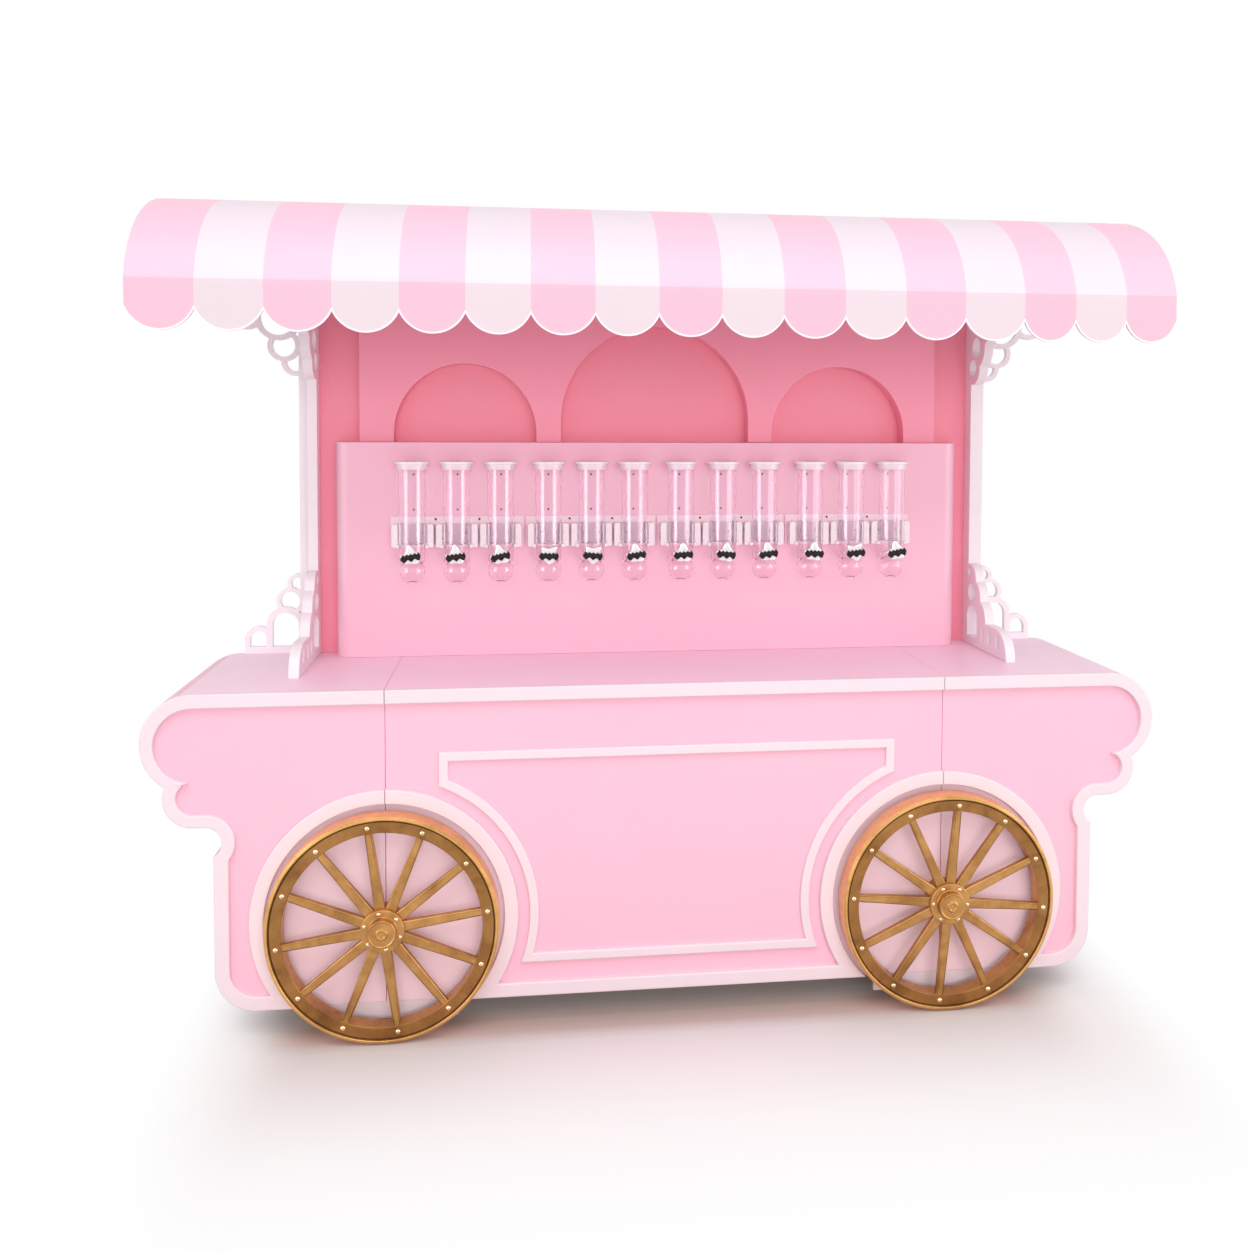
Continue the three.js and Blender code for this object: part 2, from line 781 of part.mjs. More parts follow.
function awning() {
  const frontY = -awningReach;
  const bottom = awningTop - awningCurveRise - valanceDrop;
  const crease = awningTop - awningCurveRise;
  const curve = (inset, from, to) => arc([0, 0], 1, from, to, arcStep / 2).map(([c, s]) => [
    frontY + awningCurveDepth + (awningCurveDepth - inset) * c,
    crease + (awningCurveRise - inset) * s,
  ]);
  const shell = sidePlate([
    [frontY, bottom],
    ...curve(0, Math.PI, Math.PI / 2),
    [counterDepth, awningTop],
    [counterDepth, awningTop - awningThickness],
    ...curve(awningThickness, Math.PI / 2, Math.PI),
    [frontY + awningThickness, bottom],
  ], awningLeft, awningRight);
  const widths = [
    ...Array(wideStripes).fill(wideStripe),
    ...Array(narrowStripes).fill(narrowStripe),
  ];
  const edge = [];
  let x = awningLeft;
  for (const width of widths) {
    const radius = ((width / 2) ** 2 + scallopRise ** 2) / (2 * scallopRise);
    const sweep = Math.asin(width / 2 / radius);
    const middle = [x + width / 2, bottom + radius];
    edge.push(...arc(middle, radius, -Math.PI / 2 - sweep, -Math.PI / 2 + sweep, 2 * sweep / scallopSteps));
    x += width;
  }
  const below = frontPlate([
    [awningLeft - overrun, bottom + scallopRise],
    ...edge,
    [awningRight + overrun, bottom + scallopRise],
    [awningRight + overrun, bottom - overrun],
    [awningLeft - overrun, bottom - overrun],
  ], frontY - overrun, frontY + awningThickness + overrun);
  return shell.subtract(below);
}

addPiece(cart, 'awning', surface(awning()), awningPaint);

// Racks: z = 0 is the tubes' shoulder and y = 0 their axis

const unitPlaces = Array.from(
  { length: unitsPerRack },
  (_, i) => (i - (unitsPerRack - 1) / 2) * unitPitch,
);

function rackJaw(x, side) {
  const inner = tubeRadius + gap;
  const outer = inner + jawWidth;
  const corner = [outer - jawCornerRadius, jawHeight - jawCornerRadius];
  const outline = [
    [inner, -ledgeHeight],
    [outer, -ledgeHeight],
    ...arc(corner, jawCornerRadius, 0, Math.PI / 2, Math.PI / 2),
    [inner, jawHeight],
  ];
  const back = tubeStandoff - gap - rackPlateThickness / 2;
  const jaw = frontPlate(outline.map(([a, z]) => [x + side * a, z]), jawFront, back);
  const reach = [x + side * (tubeRadius - ledgeReach), x + side * (inner + jawWidth / 2)];
  const ledge = box(
    [Math.min(...reach), Math.max(...reach)],
    [-ledgeWidth / 2, ledgeWidth],
    [-ledgeHeight, -gap],
  );
  return jaw.add(ledge);
}

function rack() {
  const back = tubeStandoff - gap;
  const plate = box(
    [-rackLength / 2, rackLength / 2],
    [back - rackPlateThickness, back],
    [-rackPlateBottom, rackPlateTop],
  );
  const jaws = unitPlaces.flatMap(x => [rackJaw(x, -1), rackJaw(x, 1)]);
  return surface(joined([plate, ...jaws]));
}

// Canister: a clear tube on a narrower housing that ends in a globe with an outlet

function canister() {
  const globe = [0, -housingDrop];
  const outletAngle = radius => -Math.acos(outletRadius / radius);
  const profile = [
    ...arc(globe, housingRadius, outletAngle(housingRadius), 0, globeStep),
    [housingRadius, 0],
    [tubeRadius, 0],
    [tubeRadius, tubeLength],
    [boreRadius, tubeLength],
    ...arc(globe, boreRadius, 0, outletAngle(boreRadius), globeStep * 3 / 2),
  ];
  const body = solid(turned(profile, tubeSides).rotateX(Math.PI / 2));
  const hole = frontDisc(
    [0, -knobDrop], spindleRadius + spindleClearance, -tubeRadius - overrun, 0, smallSides,
  );
  return surface(body.subtract(hole));
}

function lid() {
  const seat = tubeLength + gap;
  const inner = tubeRadius + lidClearance;
  const collarEnd = tubeLength - lidCollarDepth;
  return surface(solid(turned([
    [inner, collarEnd],
    [lidCollarRadius, collarEnd],
    [lidCollarRadius, seat],
    [lidRadius, seat],
    [lidRadius, seat + lidThickness],
    [0, seat + lidThickness],
    [0, seat],
    [inner, seat],
  ], tubeSides).rotateX(Math.PI / 2)));
}

// Knob: y = 0 is the tube's axis, and the knob turns about Y

function knob() {
  const collarEnd = -housingRadius - gap;
  const starBack = collarEnd - collarLength;
  const starFront = starBack - knobDepth;
  const pointCount = knobLobes * knobPointsPerLobe;
  const star = Array.from({ length: pointCount }, (_, i) => {
    const angle = 2 * Math.PI * i / pointCount;
    const radius = knobRadius + knobLobeHeight * Math.cos(knobLobes * angle);
    return [radius * Math.sin(angle), radius * Math.cos(angle)];
  });
  const leverFront = starFront - leverDepth;
  const paddleEnd = paddleLength / 2;
  const edge = paddleThickness / 2;
  const vane = [[edge, edge], [paddleRadius, edge], [paddleRadius, -edge]];
  const cross = [0, 1, 2, 3].flatMap(quarter => vane.map(([x, z]) => {
    const turn = -quarter * Math.PI / 2;
    return [x * Math.cos(turn) - z * Math.sin(turn), x * Math.sin(turn) + z * Math.cos(turn)];
  }));
  return surface(joined([
    frontPlate(star, starFront, starBack),
    box(
      [-leverLength / 2, leverLength / 2],
      [leverFront, starFront + leverSink],
      [-leverHeight / 2, leverHeight / 2],
    ),
    frontDisc([0, 0], capRadius, leverFront - capHeight, leverFront + leverSink, smallSides),
    solid(turned([
      [0, starBack - leverSink],
      [collarRadius, starBack - leverSink],
      [collarRadius, collarEnd],
      [spindleRadius, collarEnd],
      [spindleRadius, leverSink - paddleEnd],
      [0, leverSink - paddleEnd],
    ], smallSides)),
    frontPlate(cross, -paddleEnd, paddleEnd),
  ]));
}

let unitNumber = 0;
for (let r = 0; r < rackCount; r += 1) {
  const rackGroup = new THREE.Group();
  rackGroup.position.set((r - (rackCount - 1) / 2) * rackPitch, tubeY, shoulderHeight);
  cart.add(rackGroup);
  addPiece(rackGroup, `rack_${r + 1}`, rack(), rackPlastic);
  for (const x of unitPlaces) {
    unitNumber += 1;
    const label = String(unitNumber).padStart(2, '0');
    const unit = new THREE.Group();
    unit.position.x = x;
    rackGroup.add(unit);
    addPiece(unit, `canister_${label}`, canister(), clearPlastic);
    addPiece(unit, `lid_${label}`, lid(), whitePlastic);
    addPiece(unit, `knob_${label}`, knob(), chrome).position.z = -knobDrop;
  }
}

// The origin moves under the middle of the whole cart, awning included.
cart.position.y = (awningReach - counterDepth) / 2;

export default cart;
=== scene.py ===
# Looks of the candy buffet cart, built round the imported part. Shapes are drawn in
# millimetres like the part, and are brought to metres on the shared frame at the end.

from math import acos, asin, atan2, cos, dist, exp, hypot, pi, radians, sin, sqrt

import bmesh
import bpy
from mathutils import Matrix, Vector
from mathutils.geometry import tessellate_polygon


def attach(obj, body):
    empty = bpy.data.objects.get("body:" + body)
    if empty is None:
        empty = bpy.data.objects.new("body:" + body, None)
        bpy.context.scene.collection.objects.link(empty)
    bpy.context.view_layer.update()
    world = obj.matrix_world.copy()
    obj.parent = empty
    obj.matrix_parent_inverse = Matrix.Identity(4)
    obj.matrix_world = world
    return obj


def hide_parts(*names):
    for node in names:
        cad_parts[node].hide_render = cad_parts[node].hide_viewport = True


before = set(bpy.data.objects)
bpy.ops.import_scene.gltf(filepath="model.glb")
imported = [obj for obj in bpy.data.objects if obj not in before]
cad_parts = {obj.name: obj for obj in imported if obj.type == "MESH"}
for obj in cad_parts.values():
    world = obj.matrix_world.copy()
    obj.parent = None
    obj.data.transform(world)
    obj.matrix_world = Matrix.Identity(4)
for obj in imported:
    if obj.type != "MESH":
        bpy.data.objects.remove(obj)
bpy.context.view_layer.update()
scene = bpy.context.scene

MM = 0.001
JOIN_WITHIN = 2e-6
DRAWING_Y = -109.5  # where the drawing's y = 0 lies in the frame
TURN = 2 * pi
QUARTER = pi / 2
SHARP = 38

# Sizes, as in the part
COUNTER_TOP = 920
COUNTER_BACK = 556
COUNTER_BOTTOM = 78
SEAM = 765
HALF_SEAM = 0.5
WALL = 18
FACE_Y = 18
SHELF = 471
SHELF_BACK = 526
SHELF_END = 1183
TRIM_WIDTH = 38
LOBE_TRIM = 33.5
TRIM_BACK = 17.7
AXLE_Z = 303
ARCH_INNER = 312
ARCH_OUTER = 350
WALL_BOTTOM = 920.3
ROOF = 2180.7
BOARD_BACK = 534.7
BOARD_FRONT = 447
BOARD_TOP = 1563
TUBE_Y = 396
SHOULDER = 1262
KNOB_Z = 1231
POST_X = 1012.7
POST_FRONT = 485
POST_THICK = 29
RACK_PITCH = 399
UNIT_PITCH = 129
UNITS = [(r - 1.5) * RACK_PITCH + (i - 1) * UNIT_PITCH for r in range(4) for i in range(3)]


# ---- Outlines


def arc(centre, radius, start, end, steps):
    cx, cy = centre
    turn = (end - start) / steps
    return [
        (cx + radius * cos(start + turn * i), cy + radius * sin(start + turn * i))
        for i in range(steps + 1)
    ]


def crossing(a, ra, b, rb):
    """Where two circles meet, to the left of the way from a to b."""
    apart = dist(a, b)
    along = (apart**2 + ra**2 - rb**2) / (2 * apart)
    aside = sqrt(max(0, ra**2 - along**2))
    ux, uy = (b[0] - a[0]) / apart, (b[1] - a[1]) / apart
    return (a[0] + ux * along - uy * aside, a[1] + uy * along + ux * aside)


def angle_to(centre, point):
    return atan2(point[1] - centre[1], point[0] - centre[0])


def area(loop):
    return sum(x0 * y1 - x1 * y0 for (x0, y0), (x1, y1) in zip(loop, loop[1:] + loop[:1])) / 2


def turned_way(loop, left):
    return loop if (area(loop) > 0) == left else loop[::-1]


def clean(loop, least=0.02):
    """The loop without the points that all but lie on the next one."""
    return [p for p, q in zip(loop, loop[1:] + loop[:1]) if dist(p, q) > least]


def drawn_in(loop, distance):
    """The loop moved to its left by a distance, with the longest mitre at a sharp corner capped."""
    if distance == 0:
        return list(loop)
    moved = []
    for (ax, ay), (bx, by), (cx, cy) in zip(loop[-1:] + loop[:-1], loop, loop[1:] + loop[:1]):
        d1 = hypot(bx - ax, by - ay) or 1
        d2 = hypot(cx - bx, cy - by) or 1
        n1 = ((ay - by) / d1, (bx - ax) / d1)
        n2 = ((by - cy) / d2, (cx - bx) / d2)
        scale = distance / max(0.3, 1 + n1[0] * n2[0] + n1[1] * n2[1])
        moved.append((bx + (n1[0] + n2[0]) * scale, by + (n1[1] + n2[1]) * scale))
    return moved


def softened(points, radius, steps=4):
    """A closed loop with its corners rounded off; radius is one number or one for each point."""
    radii = radius if isinstance(radius, (list, tuple)) else [radius] * len(points)
    made = []
    for i, (p, r) in enumerate(zip(points, radii)):
        if r == 0:
            made.append(p)
            continue
        before, after = Vector(points[i - 1]), Vector(points[(i + 1) % len(points)])
        here = Vector(p)
        ways = [before - here, after - here]
        reach = min(r, *(w.length * 0.49 for w in ways))
        start, end = (here + w.normalized() * reach for w in ways)
        for k in range(steps + 1):
            t = k / steps
            made.append(tuple(start * (1 - t) ** 2 + here * 2 * t * (1 - t) + end * t**2))
    return made


def mirrored(loop):
    """The loop on the other side, still turned the same way."""
    return [(-x, z) for x, z in loop][::-1]


def rectangle(x0, x1, z0, z1):
    z0, z1 = min(z0, z1), max(z0, z1)
    return [(x0, z0), (x1, z0), (x1, z1), (x0, z1)]


# ---- Shapes

# A place function puts a drawn point (a, b) at depth d into the cart's x, y and z


def front(a, b, d):
    return (a, d, b)


def side(a, b, d):
    return (d, a, b)


def plan(a, b, d):
    return (a, b, d)


def turned_front(angle):
    """Seen from the front and turned clockwise about the middle."""
    s, c = sin(angle), cos(angle)
    return lambda a, b, d: (a * c + b * s, d, b * c - a * s)


class Shape:
    """Points and faces of one piece, with the number of the material of each face."""

    def __init__(self):
        self.points, self.faces, self.looks = [], [], []

    def add(self, points, faces, look=0):
        first = len(self.points)
        self.points += points
        self.faces += [[first + i for i in face] for face in faces]
        self.looks += [look] * len(faces)
        return self

    def cap(self, loops, depth, place, look=0):
        flat = [[Vector((a, b, 0)) for a, b in loop] for loop in loops]
        points = [place(a, b, depth) for loop in loops for a, b in loop]
        return self.add(points, tessellate_polygon(flat), look)

    def band(self, loop_a, depth_a, loop_b, depth_b, place, look=0):
        n = len(loop_a)
        points = [place(a, b, depth_a) for a, b in loop_a]
        points += [place(a, b, depth_b) for a, b in loop_b]
        faces = [[i, (i + 1) % n, n + (i + 1) % n, n + i] for i in range(n)]
        return self.add(points, faces, look)

    def slab(self, loops, near, far, place=front, edge=1.5, back=None, steps=3, look=0):
        """A plate between two depths with rounded edges, from an outline and its holes."""
        back = edge if back is None else back
        loops = [turned_way(clean(loop), i == 0) for i, loop in enumerate(loops)]
        levels = []
        for size, depth, sign in ((edge, near, 1), (back, far, -1)):
            count = steps if size else 0
            turns = [QUARTER * k / max(1, count) for k in range(count + 1)]
            ring = [(size * (1 - sin(t)), depth + sign * size * (1 - cos(t)))
                    for t in turns]
            levels += ring if sign == 1 else ring[::-1]
        rings = [[drawn_in(loop, inset) for loop in loops] for inset, _ in levels]
        for (r0, (_, d0)), (r1, (_, d1)) in zip(zip(rings, levels), zip(rings[1:], levels[1:])):
            for a, b in zip(r0, r1):
                self.band(a, d0, b, d1, place, look)
        self.cap(rings[0], levels[0][1], place, look)
        return self.cap(rings[-1], levels[-1][1], place, look)

    def block(self, xs, ys, zs, edge=2, look=0):
        loop = softened(rectangle(*xs, *zs), edge, 3)
        return self.slab([loop], *ys, edge=edge, look=look)

    def lathe(self, profile, place, sides=64, look=0, ripple=None):
        """A closed profile of (radius, along) turned about its axis."""
        points, faces = [], []
        n = len(profile)
        for s in range(sides):
            angle = TURN * s / sides
            for i, (radius, along) in enumerate(profile):
                r = radius * (1 + (ripple(i, s) if ripple else 0))
                points.append(place(r * cos(angle), r * sin(angle), along))
        for s in range(sides):
            here, after = s * n, (s + 1) % sides * n
            for i in range(n):
                j = (i + 1) % n
                faces.append([here + i, here + j, after + j, after + i])
        return self.add(points, faces, look)

    def dome(self, centre, radius, height, sides=20, rings=5, look=0):
        """A round rivet head that stands out to the front, a little sunk into what bears it."""
        x, y, z = centre
        sunk = 0.8
        profile = [(radius * cos(t), -height * sin(t))
                   for t in (QUARTER * k / rings for k in range(rings + 1))]
        return self.lathe([(radius, sunk), *profile, (0, sunk)],
                          lambda a, b, d: (x + a, y + d, z + b), sides, look)

    def moved(self, place):
        self.points = [place(*p) for p in self.points]
        return self


def mesh_of(name, shape, looks=(), sharp=SHARP):
    """A joined and smoothed mesh in metres, with its faces turned outwards."""
    mesh = bpy.data.meshes.new(name)
    mesh.from_pydata([(x * MM, y * MM, z * MM) for x, y, z in shape.points], [], shape.faces)
    for look in looks:
        mesh.materials.append(look)
    mesh.polygons.foreach_set("material_index", shape.looks)
    work = bmesh.new()
    work.from_mesh(mesh)
    bmesh.ops.remove_doubles(work, verts=work.verts, dist=JOIN_WITHIN)
    bmesh.ops.recalc_face_normals(work, faces=work.faces)
    work.to_mesh(mesh)
    work.free()
    return smoothed(mesh, sharp)


def smoothed(mesh, sharp):
    """Smooth shading that keeps the edges that turn by more than a number of degrees."""
    mesh.shade_smooth()
    mesh.set_sharp_from_angle(angle=radians(sharp))
    return mesh


def in_scene(name, data):
    obj = bpy.data.objects.new(name, data)
    scene.collection.objects.link(obj)
    return obj


def bevelled(obj, width, over=30):
    """Rounds the edges that turn by more than a number of degrees, before the normals are set."""
    bevel = obj.modifiers.new("edges", "BEVEL")
    bevel.width = width * MM
    bevel.segments = 3
    bevel.limit_method = "ANGLE"
    bevel.angle_limit = radians(over)
    obj.modifiers.move(len(obj.modifiers) - 1, 0)


def piece(name, shape, looks, body, stands_for=(), sharp=SHARP, at=(0, 0, 0)):
    return place_piece(name, mesh_of(name, shape, looks, sharp), body, stands_for, at)


def place_piece(name, mesh, body, stands_for=(), at=(0, 0, 0), turn=0):
    """A mesh at a place of the drawing, on its body and in place of its nodes."""
    obj = in_scene(name, mesh)
    x, y, z = at
    obj.location = (x * MM, (y + DRAWING_Y) * MM, z * MM)
    obj.rotation_euler = (0, radians(turn), 0)
    weighted = obj.modifiers.new("weighted", "WEIGHTED_NORMAL")
    weighted.keep_sharp = True
    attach(obj, body)
    if stands_for:
        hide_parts(*stands_for)
    return obj


# ---- Materials


def linear(*tint):
    """A colour of 0 to 255 as the values that a node takes."""
    def one(v):
        v /= 255
        return v / 12.92 if v <= 0.04045 else ((v + 0.055) / 1.055) ** 2.4

    return (*map(one, tint), 1)


class Look:
    """A node material with helpers for its nodes."""

    def __init__(self, name, **sockets):
        self.mat = bpy.data.materials.new(name)
        self.mat.use_nodes = True
        self.tree = self.mat.node_tree
        self.shader = self.tree.nodes["Principled BSDF"]
        self.coords = self.node("TexCoord").outputs["Object"]
        for key, value in sockets.items():
            self.shader.inputs[key.replace("_", " ")].default_value = value

    def node(self, kind, inputs=None, **settings):
        made = self.tree.nodes.new("ShaderNode" + kind)
        for key, value in settings.items():
            setattr(made, key, value)
        for key, value in (inputs or {}).items():
            self.feed(made.inputs[key], value)
        return made

    def feed(self, socket, value):
        if isinstance(value, bpy.types.NodeSocket):
            self.tree.links.new(value, socket)
        else:
            socket.default_value = value

    def stretched(self, scale):
        return self.node("Mapping", {
            "Vector": self.coords, "Scale": scale,
        }).outputs["Vector"]

    def noise(self, scale, detail=3, rough=0.5, vector=None, distortion=0):
        return self.node("TexNoise", {
            "Vector": vector or self.coords, "Scale": scale, "Detail": detail,
            "Roughness": rough, "Distortion": distortion,
        }).outputs["Fac"]

    def ranged(self, value, low, high, start=0.3, end=0.7):
        return self.node("MapRange", {
            "Value": value, "From Min": start, "From Max": end, "To Min": low, "To Max": high,
        }).outputs["Result"]

    def ramp(self, value, stops):
        made = self.node("ValToRGB", {"Fac": value})
        elements = made.color_ramp.elements
        while len(elements) < len(stops):
            elements.new(0.5)
        for element, (place, tint) in zip(elements, stops):
            element.position = place
            element.color = linear(*tint)
        return made.outputs["Color"]

    def mixed(self, factor, a, b, blend="MIX"):
        made = self.node("Mix", data_type="RGBA", blend_type=blend)
        for name, value in (("Factor", factor), ("A", a), ("B", b)):
            self.feed(next(s for s in made.inputs if s.name == name and s.enabled), value)
        return next(s for s in made.outputs if s.enabled)

    def link(self, value, socket):
        self.tree.links.new(value, self.shader.inputs[socket])

    def bump(self, height, strength, distance, under=None):
        inputs = {"Height": height, "Strength": strength, "Distance": distance}
        if under:
            inputs["Normal"] = under
        return self.node("Bump", inputs).outputs["Normal"]

    def finished(self, colour, roughness, normal):
        self.link(colour, "Base Color")
        self.link(roughness, "Roughness")
        self.link(normal, "Normal")
        return self.mat


def seen_ray(tree):
    """One for the rays that show a surface, straight, mirrored or through clear plastic."""
    path = tree.nodes.new("ShaderNodeLightPath").outputs
    seen = path["Is Camera Ray"]
    for kind in ("Is Glossy Ray", "Is Transmission Ray"):
        either = tree.nodes.new("ShaderNodeMath")
        either.operation = "MAXIMUM"
        tree.links.new(seen, either.inputs[0])
        tree.links.new(path[kind], either.inputs[1])
        seen = either.outputs[0]
    return seen


def paint(name, tint, deep, rough=(0.34, 0.5), grain=0.12):
    """Sprayed satin lacquer on board: faint clouds, a fine orange peel and soft scuffs."""
    look = Look(name)
    clouds = look.noise(1.7, 4, 0.55)
    fine = look.noise(38, 5, 0.6)
    base = look.ramp(clouds, [(0.3, deep), (0.7, tint)])
    specks = look.ramp(fine, [(0.3, tuple(v - 3 for v in tint)), (0.7, tint)])
    scuffs = look.noise(9, 6, 0.7, look.stretched((1, 1, 3)))
    wave = look.bump(look.noise(26, 2), grain * 0.5, 0.0015)
    peel = look.bump(look.noise(420, 2), grain, 0.0004, wave)
    return look.finished(look.mixed(0.35, base, specks), look.ranged(scuffs, *rough), peel)


def gold_metal(name, light, mid, dark, metal=0.85, rough=(0.3, 0.46), grain=0.12):
    """Brushed antique gold with cloudy patina."""
    look = Look(name, Metallic=metal)
    patina = look.noise(11, 6, 0.62, distortion=0.4)
    spots = look.noise(34, 5, 0.7)
    brushed = look.noise(90, 3, 0.6, look.stretched((1, 0.2, 5)))
    base = look.ramp(patina, [(0.32, dark), (0.5, mid), (0.72, light)])
    worn = look.ramp(spots, [(0.34, dark), (0.62, mid)])
    rubbed = look.bump(look.noise(150, 3, 0.6, look.stretched((1, 1, 4))), grain, 0.0006)
    return look.finished(look.mixed(0.3, base, worn), look.ranged(brushed, *rough),
                         look.bump(patina, 0.15, 0.002, rubbed))


def clear_plastic(name, tint, rough=0.04, shade=0.01):
    """See-through plastic that casts only the light shadow that real clear plastic does."""
    look = Look(name, Transmission_Weight=1.0, IOR=1.37)
    smears = look.noise(30, 5, 0.6, look.stretched((1, 1, 0.25)))
    bright = tuple(min(255, v + 4) for v in tint)
    path = look.node("LightPath").outputs
    unseen = look.node("Math", {0: path["Is Shadow Ray"], 1: path["Is Diffuse Ray"]},
                       operation="MAXIMUM").outputs[0]
    look.link(look.ranged(unseen, 1.0, shade, 0, 1), "Alpha")
    return look.finished(look.ramp(smears, [(0.3, tint), (0.7, bright)]),
                         look.ranged(smears, rough, rough + 0.05),
                         look.bump(look.noise(60, 2), 0.03, 0.0006))


def moulded(name, tint, deep, rough=(0.22, 0.34), grain=0.06, **sockets):
    """Injection moulded plastic: faint flow clouds and a fine grain."""
    look = Look(name, **sockets)
    flow = look.noise(14, 4, 0.5, look.stretched((1, 1, 0.4)))
    return look.finished(look.ramp(flow, [(0.3, deep), (0.7, tint)]),
                         look.ranged(look.noise(46, 4, 0.6), *rough),
                         look.bump(look.noise(900, 2), grain, 0.0003))


def polished(name, tint, deep, metal, rough):
    """Smooth metal with fine rubbing marks."""
    look = Look(name, Metallic=metal)
    marks = look.noise(60, 5, 0.65, look.stretched((1, 1, 4)))
    return look.finished(look.ramp(marks, [(0.3, deep), (0.7, tint)]),
                         look.ranged(marks, *rough), look.bump(look.noise(220, 3), 0.05, 0.0004))


PINK = paint("pink_paint", (252, 193, 212), (250, 188, 208))
# A lighter pink for the counter's top faces: painted light from above
COUNTER_TOP_PAINTED_LIGHT = paint("counter_top_painted_light", (255, 224, 240), (254, 220, 237))
BOARD_PINK = paint("board_pink_paint", (252, 196, 215), (250, 191, 211))
# Deeper pinks for the niche panel and the back wall: painted shade under the awning
NICHE_PINK_SHADE = paint("niche_pink_painted_shade", (252, 160, 182), (249, 155, 177))
ROSE_SHADE = paint("rose_painted_shade", (250, 154, 174), (247, 149, 169))
WHITE = paint("white_paint", (241, 221, 228), (239, 218, 226), rough=(0.3, 0.44))
LACE_WHITE = paint("lace_white_paint", (251, 240, 245), (249, 237, 243), rough=(0.3, 0.44))
ROOF_PINK = paint("roof_pink", (249, 196, 216), (247, 192, 212), rough=(0.4, 0.55))
ROOF_WHITE = paint("roof_white", (234, 218, 227), (232, 215, 225), rough=(0.4, 0.55))
# Darker copies of the roof's colours for the valance: painted shade
VALANCE_PINK_SHADE = paint("valance_pink_painted_shade", (247, 184, 202), (244, 179, 198), rough=(0.42, 0.56))
VALANCE_WHITE_SHADE = paint("valance_white_painted_shade", (223, 205, 212), (221, 202, 209), rough=(0.42, 0.56))
PIPING = paint("piping_white", (250, 238, 243), (248, 235, 241), rough=(0.4, 0.55))
# A lighter pink behind the wheels: painted light that lifts the shade of the wheels
WELL_PAINTED_LIGHT = paint("wheel_well_painted_light", (255, 224, 236), (254, 219, 232))
# Brown for the counter's bottom faces: unpainted board, and painted shade that darkens and warms
# the light under the cart
RAW_BOARD_AND_SHADE = paint("raw_board_and_painted_shade", (172, 140, 116), (150, 120, 98), rough=(0.6, 0.8), grain=0.3)
GOLD = gold_metal("antique_gold", (220, 168, 106), (192, 142, 84), (150, 104, 58))
# Gold bands of the wheel's rim: painted shade on the rim's face and in its groove, a painted
# highlight on the bead and a painted pink reflection on the tread
RIM_SHADE = gold_metal("rim_gold_painted_shade", (190, 138, 80), (160, 112, 62), (118, 78, 42))
BEAD_HIGHLIGHT = gold_metal("bead_gold_painted_highlight", (238, 190, 124), (218, 168, 102), (184, 134, 76), rough=(0.26, 0.36),
                  grain=0.03)
GROOVE_SHADE = gold_metal("groove_gold_painted_shade", (120, 82, 44), (96, 64, 34), (70, 46, 24), rough=(0.45, 0.6))
TREAD_REFLECTION = gold_metal("tread_gold_painted_reflection", (248, 194, 150), (234, 176, 132), (206, 148, 106),
                   rough=(0.4, 0.55))
# Pale metal for the rivets, made lighter still as a painted highlight
RIVET_METAL_AND_HIGHLIGHT = gold_metal("rivet_metal_and_painted_highlight", (244, 224, 200), (230, 202, 168), (204, 170, 126),
                   metal=0.9, rough=(0.14, 0.24), grain=0.03)
CLEAR = clear_plastic("clear_acrylic", (255, 248, 251))
SMOKE = clear_plastic("frosted_insert", (254, 248, 251), rough=0.1, shade=0.03)
MILKY = moulded("milky_rack_plastic", (254, 226, 236), (251, 220, 231), IOR=1.45)
MAUVE = moulded("mauve_holder_plastic", (238, 207, 220), (231, 198, 212), rough=(0.3, 0.42))
JAW = moulded("rack_jaw_plastic", (254, 240, 246), (252, 234, 242))
LID = moulded("lid_plastic", (255, 251, 253), (253, 247, 250))
# A darker white for the lid's skirt: painted shade under the flange
SKIRT_SHADE = moulded("lid_skirt_painted_shade", (251, 233, 241), (247, 226, 235))
CHROME = polished("knob_chrome", (253, 251, 252), (238, 236, 238), 0.5, (0.1, 0.2))
# Dark metal for the knob's band and centre screw; the band is a painted reflection of dark
# surroundings in the chrome
KNOB_SCREW_AND_REFLECTION = polished("knob_screw_and_painted_reflection", (62, 54, 52), (36, 30, 29), 0.9, (0.18, 0.3))
SCREW = polished("board_screw", (96, 52, 56), (58, 28, 32), 0.6, (0.25, 0.4))
RUBBER = moulded("grey_glide", (176, 170, 172), (150, 144, 147), rough=(0.55, 0.75), grain=0.2)

# ---- Counter

COUNTER_LOOKS = [PINK, GOLD, COUNTER_TOP_PAINTED_LIGHT, RAW_BOARD_AND_SHADE, WELL_PAINTED_LIGHT]


def lobe_chain(inset, lobe_inset):
    """Right end of the counter's outline from the top of its lobe to its bottom corner."""
    top, bottom, end = COUNTER_TOP - inset, COUNTER_BOTTOM + inset, 1201 - inset
    big, small, bite = 131 - lobe_inset, 77 - lobe_inset, 42 + lobe_inset
    lobe, curl, hollow = (1251, top - big), (1250, 647), (1222, 528)
    cusp = crossing(lobe, big, curl, small)
    bite_end = TURN - acos(max(-1, (end - hollow[0]) / bite))
    corner = 108 - inset
    return [
        *arc(lobe, big, QUARTER, angle_to(lobe, cusp), 40),
        *arc(curl, small, angle_to(curl, cusp), -QUARTER, 28)[1:],
        *arc(hollow, bite, QUARTER, bite_end, 14),
        *arc((end - corner, bottom + corner), corner, 0, -QUARTER, 18),
    ]


